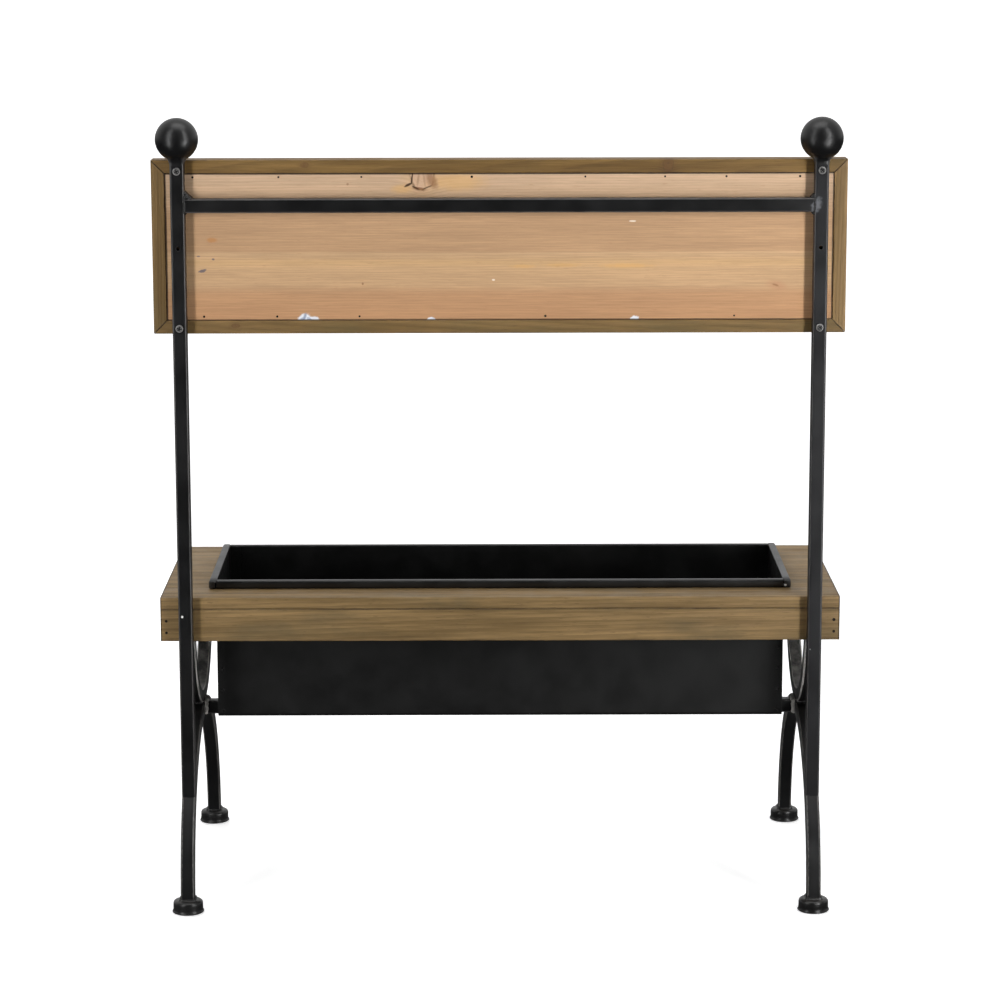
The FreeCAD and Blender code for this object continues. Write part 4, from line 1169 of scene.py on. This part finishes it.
def rimBar(alongX, positive):
    axis = 1 if alongX else 0
    wall = rimShape["wall"]
    pull = rimShape["inset"] if alongX else 0.0
    if positive:
        inside, outside = troughHigh[axis] - wall, rimHigh[axis] - pull
    else:
        inside, outside = troughLow[axis] + wall, rimLow[axis] + pull
    top = rimHigh.z - (rimShape["longDrop"] if alongX else 0.0)
    seat = troughHigh.z + rimShape["fit"]
    beside = inside + (wall + rimShape["fit"]) * (1 if positive else -1)
    corners = [(beside, rimLow.z), (outside, rimLow.z), (outside, top),
               (inside, top), (inside, seat), (beside, seat)]
    radii = [rimShape[bend] for bend in ("fold", "under", "top", "lip", "fold", "nook")]
    ends = (rimLow[1 - axis], rimHigh[1 - axis])
    if alongX:
        shorter = rimHigh.x - troughHigh.x + wall + rimShape["seam"]
        ends = (rimLow.x + shorter, rimHigh.x - shorter)
    shell = levelBoard(corners, radii, ends, alongX, inside * 9, rimShape)
    if not alongX:
        for point in shell.verts:
            for end, way in ((ends[0], 1), (ends[1], -1)):
                depth = (point.co.y - end) * way
                if depth < rimShape["atEnd"]:
                    middle = Vector(((inside + outside) / 2, end, (rimLow.z + top) / 2))
                    point.co = middle.lerp(point.co, rimEndSize)
                elif depth < rimShape["endDepth"]:
                    point.co.y = end + way * rimShape["endRound"]
    return shell


rimShell = bmesh.new()
for alongX in (True, False):
    for positive in (True, False):
        part = rimBar(alongX, positive)
        bmesh.ops.recalc_face_normals(part, faces=part.faces)
        spare = bpy.data.meshes.new("rim_part")
        part.to_mesh(spare)
        part.free()
        rimShell.from_mesh(spare)
        bpy.data.meshes.remove(spare)
addPiece("trough_rolled_rim", finishMesh(rimShell, "trough_rolled_rim", 50.0), blackRim,
         "trough_rim", "planter_trough")

# Feet: moulded caps with a soft shoulder and a square collar round the leg
footShape = {"around": 56, "uneven": 0.35 * mm, "rimAcross": 15.9}
# Each step up the outside and down into the socket: across, height, how square
footSteps = [
    (13.6, 0.0, 0.0), (15.4, 0.25, 0.0), (15.99, 0.9, 0.0), (15.99, 1.7, 0.0), (15.6, 2.3, 0.0),
    (15.3, 3.0, 0.0), (15.2, 4.5, 0.0), (15.2, 7.0, 0.0), (15.2, 9.6, 0.0), (15.05, 10.5, 0.0),
    (14.6, 11.4, 0.0), (13.9, 12.1, 0.0), (13.0, 12.55, 0.0), (12.2, 12.8, 0.0), (10.6, 13.0, 0.5),
    (9.2, 13.2, 0.9), (8.8, 13.7, 1.0), (8.6, 14.4, 1.0), (8.4, 14.8, 1.0), (8.1, 14.95, 1.0),
    (7.75, 14.85, 1.0), (7.5, 14.5, 1.0), (7.5, 7.45, 1.0),
]


def footRing(centre, across, height, square):
    ring = []
    for c, s in compass(footShape["around"]):
        size = across * mm * (1 + (squareReach(c, s) - 1) * square)
        if across < footShape["rimAcross"]:
            lump = noise.noise(Vector((c * 2.4, s * 2.4, height * 0.2 + centre.x * 60 + centre.y * 90)))
            size -= footShape["uneven"] * (0.5 + 0.5 * lump) * (1 - square)
        ring.append(centre + Vector((size * c, size * s, height * mm)))
    return ring


def makeFoot(name):
    lowest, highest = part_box(name)
    centre = (lowest + highest) / 2
    centre.z = lowest.z
    shell = bmesh.new()
    skin(shell, [footRing(centre, *step) for step in footSteps])
    addPiece("cap_" + name, finishMesh(shell, name, 50.0), footPlastic, name)


for side in sides:
    for end in ("front", "rear"):
        makeFoot("foot_" + end + "_" + side)

# What keeps its drawn shape and only gets its finish
for side in sides:
    dress(postPaint[side], "post_" + side)
    dress(blackArcPaintedHighlight, "upper_arc_" + side)
    dress(blackLeg, "lower_arc_" + side)
    dress(blackSteel, "bearer_" + side)
    dress(blackSheet, "trough_end_" + side)
dress(blackRail, "upper_rail", "stretcher")
dress(blackSheet, "trough_wrap")
print("feet made, steel and trough dressed")

# Stage: a white room behind the object, dark behind the camera
stageLook = dict(size=40.0, drop=0.3 * mm, pale=0.80, paler=0.84, mirrored=0.10, bounced=0.34,
                 near=0.6, far=2.6, nearGlow=0.58, farGlow=0.92,
                 wallStart=0.45, wallEnd=-0.35, dark=0.03, bright=0.75)


def makeFloor():
    shell = bmesh.new()
    half = stageLook["size"]
    corners = [(-half, -half), (half, -half), (half, half), (-half, half)]
    shell.faces.new([shell.verts.new((x, y, -stageLook["drop"])) for x, y in corners])
    mesh = bpy.data.meshes.new("floor")
    shell.to_mesh(mesh)
    shell.free()
    material, tree, surface, spot = newMaterial("paleFloor")
    path = tree.nodes.new("ShaderNodeLightPath").outputs
    cloud = mottle(tree, spot, 3.0, 3.0)[0]
    base = mixed(tree, cloud, grey(stageLook["pale"]), grey(stageLook["paler"]))
    base = mixed(tree, path["Is Diffuse Ray"], base, grey(stageLook["bounced"]))
    base = mixed(tree, path["Is Glossy Ray"], base, grey(stageLook["mirrored"]))
    coat(tree, surface, base, 0.9, 0.1)
    surface.inputs["Emission Color"].default_value = grey(1.0)
    glow = spread(tree, vectors(tree, "LENGTH", spot), stageLook["near"], stageLook["far"],
                  stageLook["nearGlow"], stageLook["farGlow"])
    feed(tree, surface.inputs["Emission Strength"], times(tree, glow, path["Is Camera Ray"]))
    mesh.materials.append(material)
    linked("floor", mesh)


def makeRoom():
    world = bpy.data.worlds.new("whiteRoom")
    world.use_nodes = True
    room = world.node_tree
    sky = room.nodes["Background"]
    sky.inputs["Color"].default_value = grey(1.0)
    towards = axes(room, room.nodes.new("ShaderNodeTexCoord").outputs["Generated"])[1]
    wall = spread(room, towards, stageLook["wallStart"], stageLook["wallEnd"],
                  stageLook["dark"], stageLook["bright"])
    seen = room.nodes.new("ShaderNodeLightPath").outputs["Is Camera Ray"]
    feed(room, sky.inputs["Strength"], greatest(room, wall, seen))
    scene.world = world
    scene.view_settings.view_transform = "Standard"


# Gridded lamps light the wood, glossy ones only draw lines on the paint, the top and front lamps fill in
grid = dict(beam=90.0, glossy=False, diffuse=True)
gloss = dict(beam=180.0, glossy=True, diffuse=False)
lampLook = {
    "left": dict(grid, at=(0.916, 1.169, 0.70), aim=(0.316, 0.13, 0.66), size=(0.17, 1.3), power=3.2),
    "right": dict(grid, at=(-0.916, 1.169, 0.70), aim=(-0.316, 0.13, 0.66), size=(0.15, 1.3), power=4.7),
    "stripLeft": dict(gloss, at=(1.05, 1.10, 1.35), aim=(0.316, 0.13, 1.35), size=(0.20, 2.6), power=13.0),
    "stripRight": dict(gloss, at=(-1.05, 1.10, 1.35), aim=(-0.316, 0.13, 1.35), size=(0.20, 2.6),
                       power=19.0),
    "sheenRight": dict(gloss, at=(-0.85, 1.25, 0.28), aim=(-0.30, 0.10, 0.22), size=(0.25, 0.5), power=3.6),
    "top": dict(gloss, at=(0.0, 0.35, 2.3), aim=(0.0, 0.05, 0.3), size=(1.6, 0.9), power=12.0, diffuse=True),
    "front": dict(grid, at=(0.9, -1.9, 1.2), aim=(0.0, -0.1, 0.5), size=(0.7, 0.7), power=9.0, beam=120.0),
}


def makeLamps():
    for name, look in lampLook.items():
        lamp = bpy.data.lights.new("lamp_" + name, "AREA")
        lamp.shape = "RECTANGLE"
        lamp.size, lamp.size_y = look["size"]
        lamp.energy = look["power"]
        lamp.spread = math.radians(look["beam"])
        holder = linked("lamp_" + name, lamp)
        holder.location = look["at"]
        towards = Vector(look["aim"]) - Vector(look["at"])
        holder.rotation_euler = towards.to_track_quat("-Z", "Y").to_euler()
        holder.visible_camera = False
        holder.visible_glossy = look["glossy"]
        holder.visible_diffuse = look["diffuse"]


cameraLook = dict(at=(12.7 * mm, 3360.8 * mm, 1023.4 * mm), turn=0.225, down=10.641, roll=-0.099,
                  lens=118.4, sensor=36.0, reach=200.0)


def makeCamera():
    lens = bpy.data.cameras.new("camera")
    lens.lens = cameraLook["lens"]
    lens.sensor_width = cameraLook["sensor"]
    lens.clip_end = cameraLook["reach"]
    camera = linked("camera", lens)
    swing = Matrix.Rotation(math.pi - math.radians(cameraLook["turn"]), 4, "Z")
    tilt = Matrix.Rotation(math.pi / 2 - math.radians(cameraLook["down"]), 4, "X")
    roll = Matrix.Rotation(math.radians(cameraLook["roll"]), 4, "Z")
    camera.matrix_world = Matrix.Translation(cameraLook["at"]) @ swing @ tilt @ roll
    scene.camera = camera


makeFloor()
makeRoom()
makeLamps()
makeCamera()
print("stage, lamps and camera ready")
